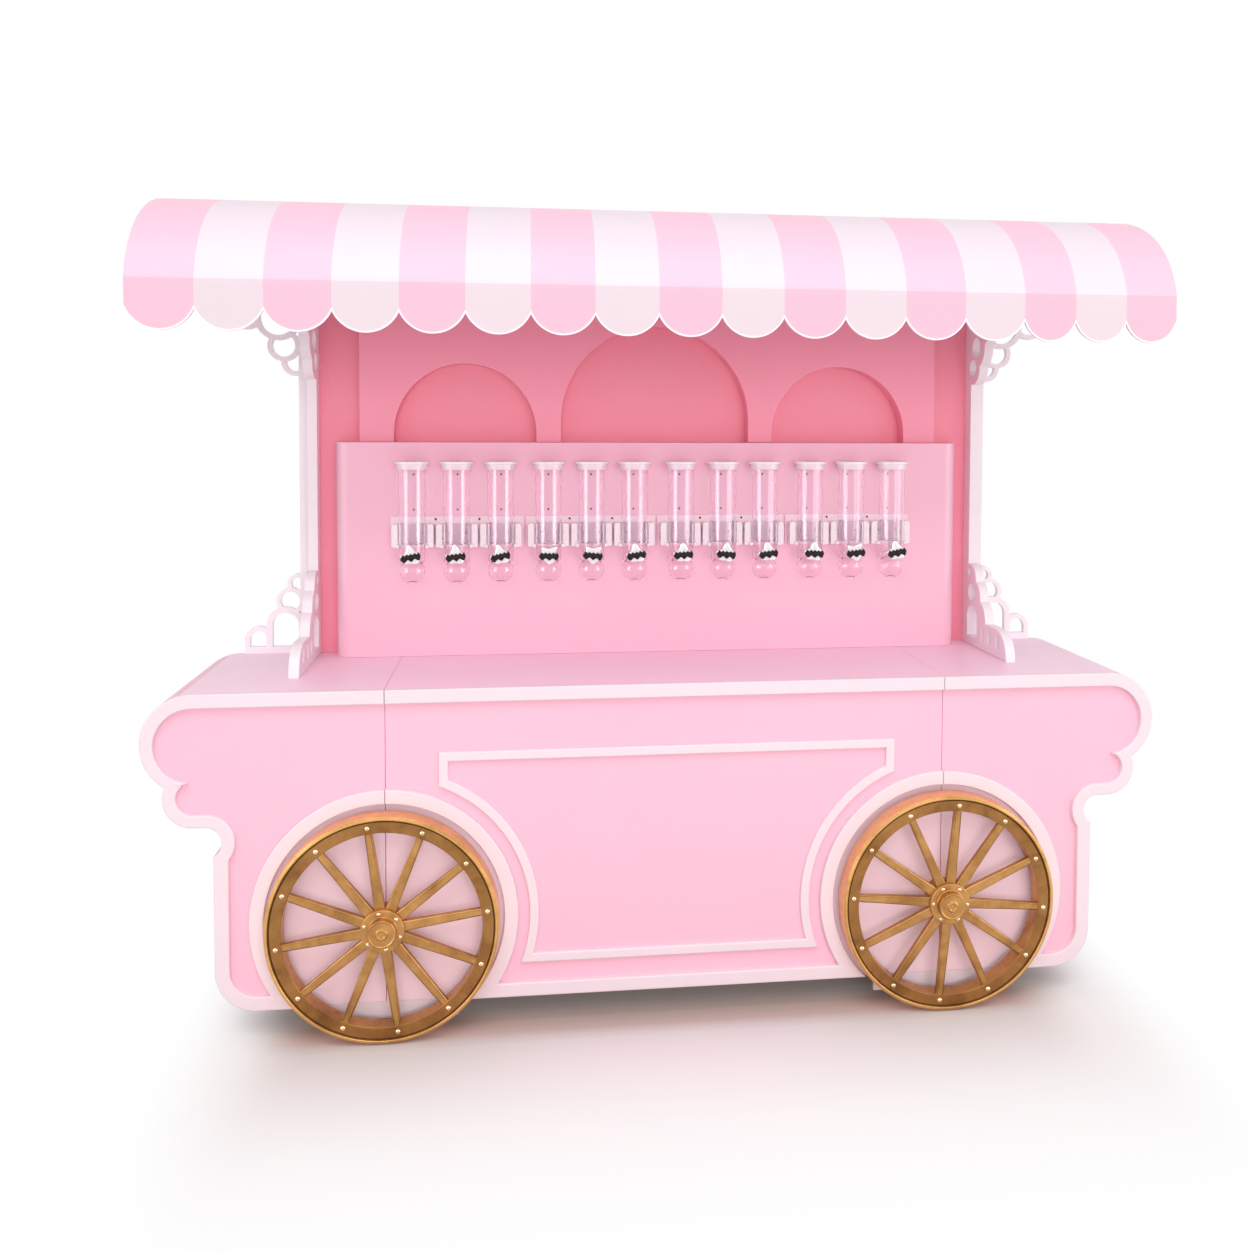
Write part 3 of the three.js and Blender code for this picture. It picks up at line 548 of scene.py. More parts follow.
def section_loop(which, inset):
    """The outline of a section, or the one inside its walls."""
    top, bottom = COUNTER_TOP - inset, COUNTER_BOTTOM + inset
    if which == "centre":
        x = SEAM - HALF_SEAM - inset
        return rectangle(-x, x, bottom, top)
    x = SEAM + HALF_SEAM + inset
    right = [(x, top), *lobe_chain(inset, inset), (x, bottom)]
    return right if which == "right" else mirrored(right)


def counter_section(which):
    """A shell that is open at the back, with rounded rims and a shelf."""
    outer, inner = (turned_way(section_loop(which, inset), True) for inset in (0, WALL))
    inside = FACE_Y + WALL
    rounding = ((1, 0), (0.3, 0.3), (0, 1))  # how far in, and how far from the face
    rings = [(drawn_in(outer, i), FACE_Y + d) for i, d in rounding]
    rings += [(drawn_in(outer, i), COUNTER_BACK - d) for i, d in rounding[::-1]]
    rings += [(drawn_in(inner, -i), COUNTER_BACK - d) for i, d in rounding]
    rings.append((inner, inside))
    shape = Shape()
    for (a, da), (b, db) in zip(rings, rings[1:]):
        shape.band(a, da, b, db, front)
    shape.cap([rings[0][0]], FACE_Y, front)
    shape.cap([inner], inside, front)
    x0, x1 = {
        "left": (-SHELF_END, -SEAM - WALL - HALF_SEAM),
        "centre": (-SEAM + WALL + HALF_SEAM, SEAM - WALL - HALF_SEAM),
        "right": (SEAM + WALL + HALF_SEAM, SHELF_END),
    }[which]
    sunk = 0.5
    return shape.block((x0 - sunk, x1 + sunk), (inside - sunk, SHELF_BACK), (SHELF, SHELF + WALL),
                       edge=1.2)


def well(shape, hand, outward):
    """The face behind one half of a wheel, a coat thicker than the counter's, in a lighter pink:
    painted light that lifts the wheel's shade.
    """
    edge = ARCH_INNER - 0.5
    low = -asin((AXLE_Z - COUNTER_BOTTOM - 0.5) / edge)
    half = [(HALF_SEAM, COUNTER_BOTTOM + 0.5 - AXLE_Z),
            *arc((0, 0), edge, low, QUARTER - 0.003, 48)]
    half = [(x + HALF_SEAM, z) for x, z in half]
    return shape.slab([[(hand * (SEAM + outward * x), AXLE_Z + z) for x, z in half]],
                      FACE_Y - 0.7, FACE_Y + 0.2, edge=0.3, look=COUNTER_LOOKS.index(WELL_PAINTED_LIGHT))


def stub(shape, x):
    """The short axle of a wheel, with its flange on the counter's face."""
    profile = [(0, -40), (14, -40), (14, 12), (45, 12), (45, 17.9), (0, 17.9)]
    shape.lathe(softened(profile, [0, 2, 2, 1.5, 0, 0], 3),
                lambda a, b, d: (x + a, d, AXLE_Z + b), 48, COUNTER_LOOKS.index(GOLD))


for which in ("left", "centre", "right"):
    made = counter_section(which)
    if which == "centre":
        stub(made, -SEAM)
        stub(made, SEAM)
    for hand in {"left": [-1], "centre": [-1, 1], "right": [1]}[which]:
        well(made, hand, -1 if which == "centre" else 1)
    obj = piece(f"counter_{which}", made, COUNTER_LOOKS, "cart", [f"base_{which}"])
    # The top faces take the lighter pink of painted light
    for face in obj.data.polygons:
        if face.normal.z > 0.9 and face.center.z > (COUNTER_TOP - 5) * MM:
            face.material_index = COUNTER_LOOKS.index(COUNTER_TOP_PAINTED_LIGHT)
        # The bottom faces take the brown of unpainted board and painted shade
        elif face.normal.z < -0.9 and face.center.z < (COUNTER_BOTTOM + 5) * MM:
            face.material_index = COUNTER_LOOKS.index(RAW_BOARD_AND_SHADE)

# Trim band and panel moulding

REACH_LOW = sqrt(ARCH_INNER**2 - (AXLE_Z - COUNTER_BOTTOM) ** 2)
REACH_HIGH = sqrt(ARCH_OUTER**2 - (AXLE_Z - COUNTER_BOTTOM - TRIM_WIDTH) ** 2)
LOW_ANGLE = -acos(REACH_LOW / ARCH_INNER)
HIGH_ANGLE = -acos(REACH_HIGH / ARCH_OUTER)
SEAM_LEAN = asin(HALF_SEAM / ARCH_INNER)


def end_trim():
    seam = SEAM + HALF_SEAM
    return [
        (seam, COUNTER_TOP),
        *lobe_chain(0, 0),
        *arc((SEAM, AXLE_Z), ARCH_INNER, LOW_ANGLE, QUARTER - SEAM_LEAN, 60),
        *arc((SEAM, AXLE_Z), ARCH_OUTER, QUARTER - SEAM_LEAN, HIGH_ANGLE, 60),
        *lobe_chain(TRIM_WIDTH, LOBE_TRIM)[::-1],
        (seam, COUNTER_TOP - TRIM_WIDTH),
    ]


def arch_trim():
    start = QUARTER + SEAM_LEAN
    lower = arc((SEAM, AXLE_Z), ARCH_INNER, start, pi - LOW_ANGLE, 60)[::-1]
    upper = arc((SEAM, AXLE_Z), ARCH_OUTER, start, pi - HIGH_ANGLE, 60)
    return lower + upper + mirrored(upper) + mirrored(lower)


bar_end = SEAM - HALF_SEAM
for name, loop in (
    ("trim_left", mirrored(end_trim())),
    ("trim_top", rectangle(-bar_end, bar_end, COUNTER_TOP - TRIM_WIDTH, COUNTER_TOP)),
    ("trim_arches", arch_trim()),
    ("trim_right", end_trim()),
):
    shape = Shape().slab([loop], 0, TRIM_BACK + 0.2, edge=4, back=0, steps=4)
    piece(f"{name}_band", shape, [WHITE], "cart", [name])


def moulding_loop(inset):
    top, bottom, end = 748 - inset, 168 + inset, 625 - inset
    radius = ARCH_OUTER + 30 + inset
    high = pi - acos((SEAM - end) / radius)
    low = pi + asin((AXLE_Z - bottom) / radius)
    right = [(end, top), *arc((SEAM, AXLE_Z), radius, high, low, 48)]
    return right + mirrored(right)


shape = Shape().slab([moulding_loop(0), moulding_loop(25)], 6, TRIM_BACK + 0.2, edge=3.5, back=0,
                     steps=4)
piece("moulding_band", shape, [WHITE], "cart", ["panel_moulding"])

# Leg frames with glides under their feet

LEG = 37

for name, x in (("left", -SEAM), ("right", SEAM)):
    across = (x - LEG / 2, x + LEG / 2)
    shape = Shape().block(across, (30, 544), (50, 77.7), edge=2)
    shape.block((x - 190, x + 190), (19, 31), (30, 77.7), edge=2)
    for y in (40, 497):
        shape.block(across, (y, y + LEG), (6, 60), edge=2.5)
        glide = softened([(0, 0), (13, 0), (15, 8), (0, 8)], [0, 2, 1, 0], 3)
        shape.lathe(glide, lambda a, b, d, y=y: (x + a, y + LEG / 2 + b, d), 28, 1)
    piece(f"legs_{name}", shape, [WHITE, RUBBER], "cart", [f"leg_frame_{name}"])

# ---- Wheels

WHEEL_LOOKS = [GOLD, RIVET_METAL_AND_HIGHLIGHT, RIM_SHADE, BEAD_HIGHLIGHT, GROOVE_SHADE, TREAD_REFLECTION]
SPOKES = 12
BOLTS = 6
RIM_INSIDE = 256
TREAD_BACK = -56


def wheel_shape(spoke_angle, bolt_angle):
    """Drawn round its axle, with the angles of a spoke and of a bolt from straight up."""
    shape = Shape()
    rim = [
        (257, -12), (302, -12), (300, -61), (297, -61), (296, -65), (290.5, -65), (289.5, -58.5),
        (286.5, -58.5), (286, -60), (257, -60),
    ]
    shape.lathe(softened(rim, [2, 2, 2.5, 0.8, 1.8, 1.8, 0.8, 0.8, 0.6, 2.5], 4), front, 144)
    hub = [
        (0, -87), (8, -87), (9.5, -90), (14, -90), (15.5, -86), (31, -86), (33, -87.5), (36, -87.5),
        (38, -82), (38, -68), (57, -68), (57, -36), (45, -36), (45, 11.7), (14.6, 11.7),
        (14.6, -40.3), (0, -40.3),
    ]
    rounds = [0, 1, 1.5, 1.5, 1.5, 1, 1.2, 1.5, 2.5, 2.5, 2.5, 2, 1, 1, 1, 1, 0]
    shape.lathe(softened(hub, rounds, 4), front, 72)
    blade = softened([(-14, 40), (14, 40), (9.5, 259.5), (-9.5, 259.5)], 0.5, 1)
    for i in range(SPOKES):
        place = turned_front(radians(spoke_angle + 360 / SPOKES * i))
        shape.slab([blade], -58, -40, place, edge=3.2, steps=4)
        shape.dome(place(0, 272.5, -59.8), 7.2, 5.6, look=1)
    for i in range(BOLTS):
        place = turned_front(radians(bolt_angle + 360 / BOLTS * i))
        shape.dome(place(0, 47.5, -67.8), 6, 4.8, look=1)
    return shape


for name, x, angle, bolts in (("left", -SEAM, -8, -11), ("right", SEAM, 5.2, -27)):
    wheel = piece(f"spoked_wheel_{name}", wheel_shape(angle, bolts), WHEEL_LOOKS,
                  f"{name}_wheel", [f"wheel_{name}"], at=(x, 0, AXLE_Z))
    # Faces of the rim take the bands of painted light: the tread's pink reflection, the bead's
    # highlight, the groove's shade and the shade on the rim's face
    for face in wheel.data.polygons:
        centre = face.center / MM
        radius = hypot(centre.x, centre.z)
        look = WHEEL_LOOKS[face.material_index]
        if look == RIVET_METAL_AND_HIGHLIGHT or radius < RIM_INSIDE:
            continue
        if centre.y > TREAD_BACK and radius > 290:
            look = TREAD_REFLECTION
        elif radius > 289.7:
            look = BEAD_HIGHLIGHT
        elif radius > 285.7:
            look = GROOVE_SHADE
        elif abs(face.normal.y) > 0.3:
            look = RIM_SHADE
        face.material_index = WHEEL_LOOKS.index(look)

# ---- Wall, board and niches

BOARD_HALF = 958
BOARD_CORNER = 45
PANEL_HALF = 888
PANEL_THICK = 59.7
NICHES = ((-576, 211.7, 24.7), (0, 289, 65.2), (576, 211.7, 24.7))

# The back wall keeps the part's own shape
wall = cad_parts["back_wall"]
wall.data.materials.clear()
# It takes the deeper pink of painted shade
wall.data.materials.append(ROSE_SHADE)
bevelled(wall, 1.5)

turn_x, turn_y = BOARD_HALF - BOARD_CORNER, BOARD_FRONT + BOARD_CORNER
board = [
    (-BOARD_HALF, BOARD_BACK),
    *arc((-turn_x, turn_y), BOARD_CORNER, pi, 1.5 * pi, 16),
    *arc((turn_x, turn_y), BOARD_CORNER, 1.5 * pi, TURN, 16),
    (BOARD_HALF, BOARD_BACK),
]
shape = Shape().slab([board], WALL_BOTTOM, BOARD_TOP, plan, edge=1.8)
piece("dispenser_board", shape, [BOARD_PINK], "cart", ["display_board"])

base = BOARD_TOP + 0.3
panel = [(-PANEL_HALF, base)]
for x, radius, leg in NICHES:
    panel += [(x - radius, base), *arc((x, base + leg), radius, pi, 0, 72),
              (x + radius, base)]
panel += [(PANEL_HALF, base), (PANEL_HALF, ROOF), (-PANEL_HALF, ROOF)]
shape = Shape().slab([panel], BOARD_BACK - PANEL_THICK, BOARD_BACK, edge=1.8)
# The niche panel takes the deeper pink of painted shade
piece("niche_panel", shape, [NICHE_PINK_SHADE], "cart", ["arch_panel"])

# ---- Lace side boards

# A circle is out, rise and radius as shares of the reach, the height and the reach

REACH = 313
RAIL = 27
FOOT = {
    "base": WALL_BOTTOM, "up": 1, "height": 258,
    "nose": (0.744, 0.02, 0.256), "arch": (0.109, 0.333, 0.13), "slot": 0.225,
    "lobes": [(0.048, 0.806, 0.16), (0.144, 0.585, 0.188), (0.256, 0.333, 0.214)],
    "holes": [(0.038, 0.891, 0.045), (0.086, 0.651, 0.086)],
}
HEAD = {
    "base": ROOF, "up": -1, "height": 433,
    "nose": (0.712, 0.244, 0.288), "arch": (0.16, 0.53, 0.15), "slot": 0.35,
    "lobes": [(0.048, 0.872, 0.176), (0.153, 0.735, 0.198), (0.272, 0.555, 0.24)],
    "holes": [(0.038, 0.88, 0.086), (0.12, 0.735, 0.1)],
}


def bracket_circle(spec, share):
    return (share[0] * REACH, share[1] * spec["height"]), share[2] * REACH


def bracket_edge(spec):
    """From the head of the top lobe over every cusp to the tip of the nose."""
    circles = [bracket_circle(spec, lobe) for lobe in spec["lobes"]]
    (nose_out, nose_rise), nose = bracket_circle(spec, spec["nose"])
    centre, radius = circles[0]
    angle = acos(max(-1, -centre[0] / radius))
    edge = []
    for following, size in circles[1:]:
        cusp = crossing(centre, radius, following, size)
        edge += arc(centre, radius, angle, angle_to(centre, cusp), 16)
        angle, centre, radius = angle_to(following, cusp), following, size
    drop = max(-1, min(1, (nose_rise + nose - centre[1]) / radius))
    edge += arc(centre, radius, angle, asin(drop), 16)
    edge += arc((nose_out, nose_rise), nose, QUARTER, 0, 20)
    return [*edge, (nose_out + nose, 0)]


def bracket_holes(spec):
    """One arched window, three narrow ones and the round holes, above the rail."""
    def window(centre, radius, steps):
        left, right = centre[0] - radius, centre[0] + radius
        return [(left, RAIL), (right, RAIL), *arc(centre, radius, 0, pi, steps)]

    rise = spec["slot"] * spec["height"]
    return [
        window(*bracket_circle(spec, spec["arch"]), 20),
        *(window((share * REACH, rise), 12, 14) for share in (0.393, 0.58, 0.78)),
        *(arc(*bracket_circle(spec, hole), 0, TURN * 27 / 28, 27) for hole in spec["holes"]),
    ]


def side_board_loops():
    def placed(spec, loop):
        return [(POST_FRONT - out, spec["base"] + spec["up"] * rise) for out, rise in loop]

    outline = [
        (COUNTER_BACK, WALL_BOTTOM), (COUNTER_BACK, ROOF),
        *placed(HEAD, bracket_edge(HEAD))[::-1], *placed(FOOT, bracket_edge(FOOT)),
    ]
    return [outline, *(placed(spec, hole) for spec in (HEAD, FOOT) for hole in bracket_holes(spec))]


for name, sign in (("left", -1), ("right", 1)):
    shape = Shape().slab(side_board_loops(), POST_X, POST_X + POST_THICK, side, edge=2)
    shape.moved(lambda x, y, z, sign=sign: (sign * x, y, z))
    piece(f"lace_board_{name}", shape, [LACE_WHITE], "cart", [f"side_board_{name}"])

# ---- Lace wings

# Lower and upper lace: base, way up, reach, height, rail and the loops, which are out, rise,
# outer and inner radius as shares, and 1 for a loop with legs

WING_X = POST_X + POST_THICK + 0.3
WING_THICK = 18
WINGS = [
    (WALL_BOTTOM, 1, 196, 241, 20.7,
     [(0.204, 0.876, 0.153, 0.092, 0), (0.316, 0.658, 0.209, 0.145, 0),
      (0.388, 0.347, 0.291, 0.199, 1), (0.786, 0.169, 0.214, 0.14, 1)]),
    (ROOF, -1, 248, 421, 30.7,
     [(0.161, 0.897, 0.173, 0.113, 0), (0.302, 0.783, 0.192, 0.135, 0),
      (0.367, 0.584, 0.274, 0.21, 1), (0.742, 0.519, 0.258, 0.194, 1)]),
]
LOOP_ENDS_AT = (1, 2, None, 2)  # the loop beside it that cuts each one off


def flat_object(name, loops, near, far):
    """A plain plate that serves a join or a cut and is removed after it."""
    return in_scene(name, mesh_of(name, Shape().slab(loops, near, far, edge=0)))


def combined(base, others, operation):
    """The base joined with, cut by or kept inside the others, which are removed."""
    for other in others:
        step = base.modifiers.new("step", "BOOLEAN")
        step.operation = operation
        step.solver = "EXACT"
        step.object = other
    bpy.context.view_layer.update()
    graph = bpy.context.evaluated_depsgraph_get()
    done = bpy.data.meshes.new_from_object(base.evaluated_get(graph))
    base.modifiers.clear()
    base.data = done
    for other in others:
        bpy.data.objects.remove(other)
    return base


def wing_loop(middle, radius, base, up, legs, lift=0):
    """The outline of a round loop, or of an arch that stands on the counter or hangs down."""
    if not legs:
        return arc(middle, radius, 0, TURN * 35 / 36, 35)
    foot = base + up * lift
    x = middle[0]
    return [*arc(middle, radius, 0, up * pi, 28), (x - radius, foot), (x + radius, foot)]


def wing_object():
    """Loops that end where they meet the large arch or the loop beside it, joined to the strip."""
    near, far = COUNTER_BACK - WING_THICK, COUNTER_BACK
    joined = flat_object("strip", [rectangle(WING_X, WING_X + 32, WALL_BOTTOM, ROOF)], near, far)
    parts = []
    for base, up, reach, height, rail, loops in WINGS:
        sill = rectangle(WING_X, WING_X + reach, base, base + up * rail)
        parts.append(flat_object("sill", [sill], near, far))
        middles = [(WING_X + out * reach, base + up * rise * height) for out, rise, *_ in loops]
        outsides = [wing_loop(middle, outer * reach, base, up, legs)
                    for middle, (_, _, outer, _, legs) in zip(middles, loops)]
        for i, (*_, inner, legs) in enumerate(loops):
            inside = wing_loop(middles[i], inner * reach, base, up, legs, lift=1)
            loop = flat_object("loop", [outsides[i], inside], near, far)
            if LOOP_ENDS_AT[i] is not None:
                cutter = flat_object("cutter", [outsides[LOOP_ENDS_AT[i]]], near - 5, far + 5)
                loop = combined(loop, [cutter], "DIFFERENCE")
            parts.append(loop)
    joined = combined(joined, parts, "UNION")
    room = flat_object("room", [rectangle(WING_X, 1400, WALL_BOTTOM, ROOF)],
                       COUNTER_BACK - 30, COUNTER_BACK + 10)
    return combined(joined, [room], "INTERSECT")


wing = wing_object()
for name, sign in (("left", -1), ("right", 1)):
    mesh = wing.data.copy()
    mesh.transform(Matrix.Diagonal((sign, 1, 1, 1)))
    if sign < 0:
        mesh.flip_normals()
    mesh.materials.clear()
    mesh.materials.append(LACE_WHITE)
    obj = place_piece(f"lace_wing_{name}", smoothed(mesh, 30), "cart",
                      [f"wing_{name}"])
    bevelled(obj, 1.6, 50)
bpy.data.objects.remove(wing)

# ---- Awning

AWNING_FRONT = -337
AWNING_CREASE = 1952
AWNING_DROP = 119
AWNING_DEPTH = 400
AWNING_RISE = 237
AWNING_LEFT = -1296
CLOTH = 8
SCALLOP = 49
PIPE = 4
ROOF_STEPS = 40
COLUMNS = 26
ROWS_DOWN = 5
STRIPES = [152.4] * 14 + [133.5] * 3


def awning_section(inset):
    """Front to back over the curve: (y, z) places drawn in by the shell's thickness."""
    places = []
    for i in range(ROOF_STEPS + 1):
        t = QUARTER * i / ROOF_STEPS
        lean = 50 * sin(t) * (1 - i / ROOF_STEPS) ** 2
        places.append((AWNING_FRONT + AWNING_DEPTH * (1 - cos(t)) + lean,
                       AWNING_CREASE + AWNING_RISE * sin(t)))
    places.append((COUNTER_BACK, AWNING_CREASE + AWNING_RISE))
    if not inset:
        return places
    moved = []
    for i, (y, z) in enumerate(places):
        ahead, behind = places[min(i + 1, ROOF_STEPS + 1)], places[max(i - 1, 0)]
        dy, dz = ahead[0] - behind[0], ahead[1] - behind[1]
        size = hypot(dy, dz)
        if i > ROOF_STEPS:
            dy, dz, size = 1, 0, 1
        moved.append((y + dz / size * inset, z - dy / size * inset))
    moved[0] = (AWNING_FRONT + inset, AWNING_CREASE)
    return moved


def scallop(width, piping=0):
    """Heights above the lowest point across one stripe, at its edge or above its piping."""
    radius = ((width / 2) ** 2 + SCALLOP**2) / (2 * SCALLOP)
    places = []
    for i in range(COLUMNS + 1):
        x = -cos(pi * i / COLUMNS) * width / 2
        edge = radius - sqrt(radius**2 - x**2)
        above = radius - sqrt(max(0, (radius - piping) ** 2 - x**2))
        places.append((x + width / 2, min(above, edge + 2.2 * piping)))
    return places


def awning_column(x, low, above, section, y_flat):
    """Up from the edge over the piping and the valance, then along the roof to the back."""
    down = [(x, y_flat, above + (AWNING_CREASE - above) * r / ROWS_DOWN)
            for r in range(ROWS_DOWN + 1)]
    return [(x, y_flat, low), *down, *((x, *p) for p in section[1:])]


def awning_shape():
    """Looks: 0 and 1 for the roof's stripes, 2 and 3 for the valance's, which are darker copies as
    painted shade, 4 for the piping.
    """
    shape = Shape()
    outer, inner = awning_section(0), awning_section(CLOTH)
    sheets = ((outer, AWNING_FRONT), (inner, AWNING_FRONT + CLOTH))
    bottom = AWNING_CREASE - AWNING_DROP
    x = AWNING_LEFT
    hanging = ROWS_DOWN + 1
    rows = hanging + len(outer)
    for number, width in enumerate(STRIPES):
        look = number % 2
        across = list(zip(scallop(width), scallop(width, PIPE)))
        for section, y_flat in sheets:
            first = len(shape.points)
            for (dx, rise), (_, above) in across:
                shape.points += awning_column(x + dx, bottom + rise, bottom + above,
                                              section, y_flat)
            for r in range(rows - 1):
                kind = 4 if r == 0 else look + 2 if r < hanging else look
                starts = range(first + r, first + r + COLUMNS * rows, rows)
                shape.faces += [[a, a + 1, a + rows + 1, a + rows] for a in starts]
                shape.looks += [kind] * COLUMNS
        strip = [[2 * c, 2 * c + 1, 2 * c + 3, 2 * c + 2] for c in range(COLUMNS)]
        edge = [(x + dx, y, bottom + rise) for (dx, rise), _ in across for _, y in sheets]
        back = [(x + dx, *section[-1]) for (dx, _), _ in across for section, _ in sheets]
        shape.add(edge, strip, 4)
        shape.add(back, strip, look)
        x += width
    for end, width in ((AWNING_LEFT, STRIPES[0]), (x, STRIPES[-1])):
        above = bottom + scallop(width, PIPE)[0][1]
        ends = [p for sheet in sheets for p in awning_column(end, bottom + SCALLOP, above, *sheet)]
        faces = [[i, i + 1, rows + i + 1, rows + i] for i in range(rows - 1)]
        shape.add(ends, faces[:hanging], 2)
        shape.add(ends, faces[hanging:], 0)
    return shape


awning = piece("striped_awning", awning_shape(),
               [ROOF_PINK, ROOF_WHITE, VALANCE_PINK_SHADE, VALANCE_WHITE_SHADE, PIPING], "cart",
               ["awning"], sharp=30)
bevelled(awning, 1.5, 60)

# ---- Dispensers

RACK_LOOKS = [MILKY, JAW, SCREW, MAUVE]
KNOB_LOOKS = [CHROME, KNOB_SCREW_AND_REFLECTION, LID]


def rack_shape():
    """Drawn round its middle: y = 0 is the tubes' axis and z = 0 their shoulder."""
    shape = Shape()
    back = 50.7
    tubes = (-UNIT_PITCH, 0, UNIT_PITCH)
    jaw, screw, holder = (RACK_LOOKS.index(look) for look in (JAW, SCREW, MAUVE))
    shape.slab([softened(rectangle(-197, 197, -12, 80), 4)], back - 4, back, edge=0.8)
    for x in tubes:
        for way in (-1, 1):
            outline = softened(rectangle(42.5, 61, -10, 60), [1, 2, 9, 1])
            shape.slab([[(x + way * a, z) for a, z in outline]], 5, back - 3.8, edge=1.4, look=jaw)
            ledge = sorted((x + way * 37.5, x + way * 48))
            shape.block(ledge, (-10, 20), (-10, -0.3), edge=1, look=jaw)
        shape.block((x - 43.5, x + 43.5), (back - 7.5, back - 3.8), (4, 59), edge=1, look=holder)
    for x in (-UNIT_PITCH / 2, UNIT_PITCH / 2):
        shape.dome((x, back - 4, 71), 3.4, 1.6, look=screw)
    for x in tubes:
        for dx in (-28, 28):
            shape.dome((x + dx, back - 7.3, 30), 3, 1.4, look=screw)
    return shape


def canister_shape():
    """Globe with its outlet below, housing and tube in one profile, and the insert in it."""
    def globe(radius):
        return arc((0, -78), radius, -acos(13 / radius), asin(22 / radius), 26)

    outer, inner = globe(37.5), globe(35.5)[::-1]
    profile = [
        *outer, (32, -53.5), (35.6, -50), (37, -44), (37.2, -4), (39, 0), (39, 236.5), (38.2, 238),
        (35.8, 238), (35, 236.5), (35, -2), (35, -43.6), (33.6, -48.6), (29.6, -53), *inner,
    ]
    shape = Shape().lathe(profile, plan, 72)
    insert = softened([(12, 2), (34.4, 2), (34.4, 64), (32.9, 64), (32.9, 4), (12, 4)], 0.6, 2)
    return shape.lathe(insert, plan, 48, 1)


def lid_shape():
    profile = softened(
        [(0, 247), (44, 247), (46, 246), (49.5, 246), (49.5, 238.6), (43.5, 238.3), (43.5, 222),
         (39.4, 222), (39.4, 238.3), (0, 238.3)],
        [0, 1.5, 1, 2.5, 2, 1, 1, 0.6, 0.6, 0], 3)
    skirt = [i for i, (r, z) in enumerate(profile) if r > 41 and z < 237.6]

    def ripple(i, s):
        return 0.008 if i in skirt and s % 4 < 2 else 0

    return Shape().lathe(profile, plan, 160, ripple=ripple)


def knob_shape(tips):
    """Drawn round the knob's own axis, with the tube's axis at y = 0. It has a wing at each tip."""
    shape = Shape()
    screw_and_reflection, paddle = (KNOB_LOOKS.index(look) for look in (KNOB_SCREW_AND_REFLECTION, LID))
    star = []
    for i in range(144):
        a = TURN * i / 144
        r = 21.5 + 2 * sin(3 * a + 0.5)
        for tip, reach in tips:
            apart = (a - tip + pi) % TURN - pi
            r += reach * exp(-((apart / 0.36) ** 2))
        star.append((r * sin(a), r * cos(a)))
    shape.slab([star], -59.7, -43.7, edge=5, steps=6)
    rim = softened([(0, -60.6), (13, -60.6), (15, -59), (15, -52), (0, -52)], [0, 1, 1, 0, 0], 3)
    shape.lathe(rim, front, 48)
    # A dark wavy band across the star: a painted reflection of dark surroundings in the chrome,
    # with a dark screw at its middle
    top = [(x, 8.6 + 2.4 * sin(x * 0.55 + 0.6)) for x in range(-26, 27, 2)]
    low = [(x, -9.4 - 3.2 * sin(x * 0.31 + 1.1)) for x in range(26, -27, -2)]
    bar = softened([(-30, -2), *top, (30, 1), *low], 1.2, 2)
    shape.slab([bar], -67.7, -59, edge=3, steps=4, look=screw_and_reflection)
    shape.dome((0, -67.4, 0), 4.5, 2.3, look=screw_and_reflection)
    spindle = [(0, -41.7), (8, -41.7), (8, -37.3), (4.2, -37.3), (4.2, -14), (0, -14)]
    shape.lathe(softened(spindle, [0, 1, 1, 0.5, 0.5, 0], 2), front, 24)
    vane = softened(rectangle(-27, 27, -1.4, 1.4), 0.6, 2)
    for angle in (0, -QUARTER):
        shape.slab([vane], -16, 16, turned_front(angle), edge=1, look=paddle)
    return shape


rack = mesh_of("rack_holder", rack_shape(), RACK_LOOKS)
for number, x in enumerate(UNITS[1::3], 1):
    place_piece(f"rack_holder_{number}", rack, "cart", [f"rack_{number}"],
                (x, TUBE_Y, SHOULDER))

KNOB_TURNS = [-10, -7, -13, 2, 6, -9, -4, 5, -8, 3, -6, -11]
ONE_WING_UP = [(0, 15), (1.35, 8), (2.4, 5), (3.9, 5), (4.95, 8)]
TWO_WINGS_UP = [(0.68, 13), (1.7, 7), (3.1, 6), (4.55, 7), (5.6, 13)]
KNOB_PAIRS = (4, 5, 11)
tube = mesh_of("tube", canister_shape(), [CLEAR, SMOKE])
cap = mesh_of("cap", lid_shape(), [LID, SKIRT_SHADE])
# The skirt under the flange takes the darker white of painted shade
for face in cap.polygons:
    if face.center.z < 238 * MM and face.center.xy.length < 44.5 * MM:
        face.material_index = 1
one_up, two_up = (mesh_of("handle", knob_shape(tips), KNOB_LOOKS)
                  for tips in (ONE_WING_UP, TWO_WINGS_UP))
for number, (x, turn) in enumerate(zip(UNITS, KNOB_TURNS), 1):
    label = f"{number:02d}"
    for name, mesh, body, slot, node, z, angle in (
        ("tube", tube, "cart", "clear_plastic", "canister", SHOULDER, 0),
        ("cap", cap, f"lid_{label}_body", "white_plastic", "lid", SHOULDER, 0),
        ("handle", two_up if number in KNOB_PAIRS else one_up, f"knob_{label}_body", "chrome",
         "knob", KNOB_Z, turn),
    ):
        place_piece(f"{name}_{label}", mesh, body, [f"{node}_{label}"], (x, TUBE_Y, z), angle)

# Screws in the board behind the tubes, with a row of small dots below the upper one

shape = Shape()
for x in UNITS:
    for z in (1467, 1362):
        shape.dome((x, BOARD_FRONT - 0.2, z), 3.2, 1.5)
    for k in range(12):
        shape.dome((x, BOARD_FRONT - 0.1, 1453 - 13.5 * k), 0.9, 0.4, sides=10, rings=2)
piece("board_screws", shape, [SCREW], "cart")

# ---- Stage, light and camera

FLOOR_HALF = (1.05, 0.15, 0)
FLOOR_REACH = (0.33, 0.95, 1)
FLOOR_MIDDLE = (0.04, 0, 0)
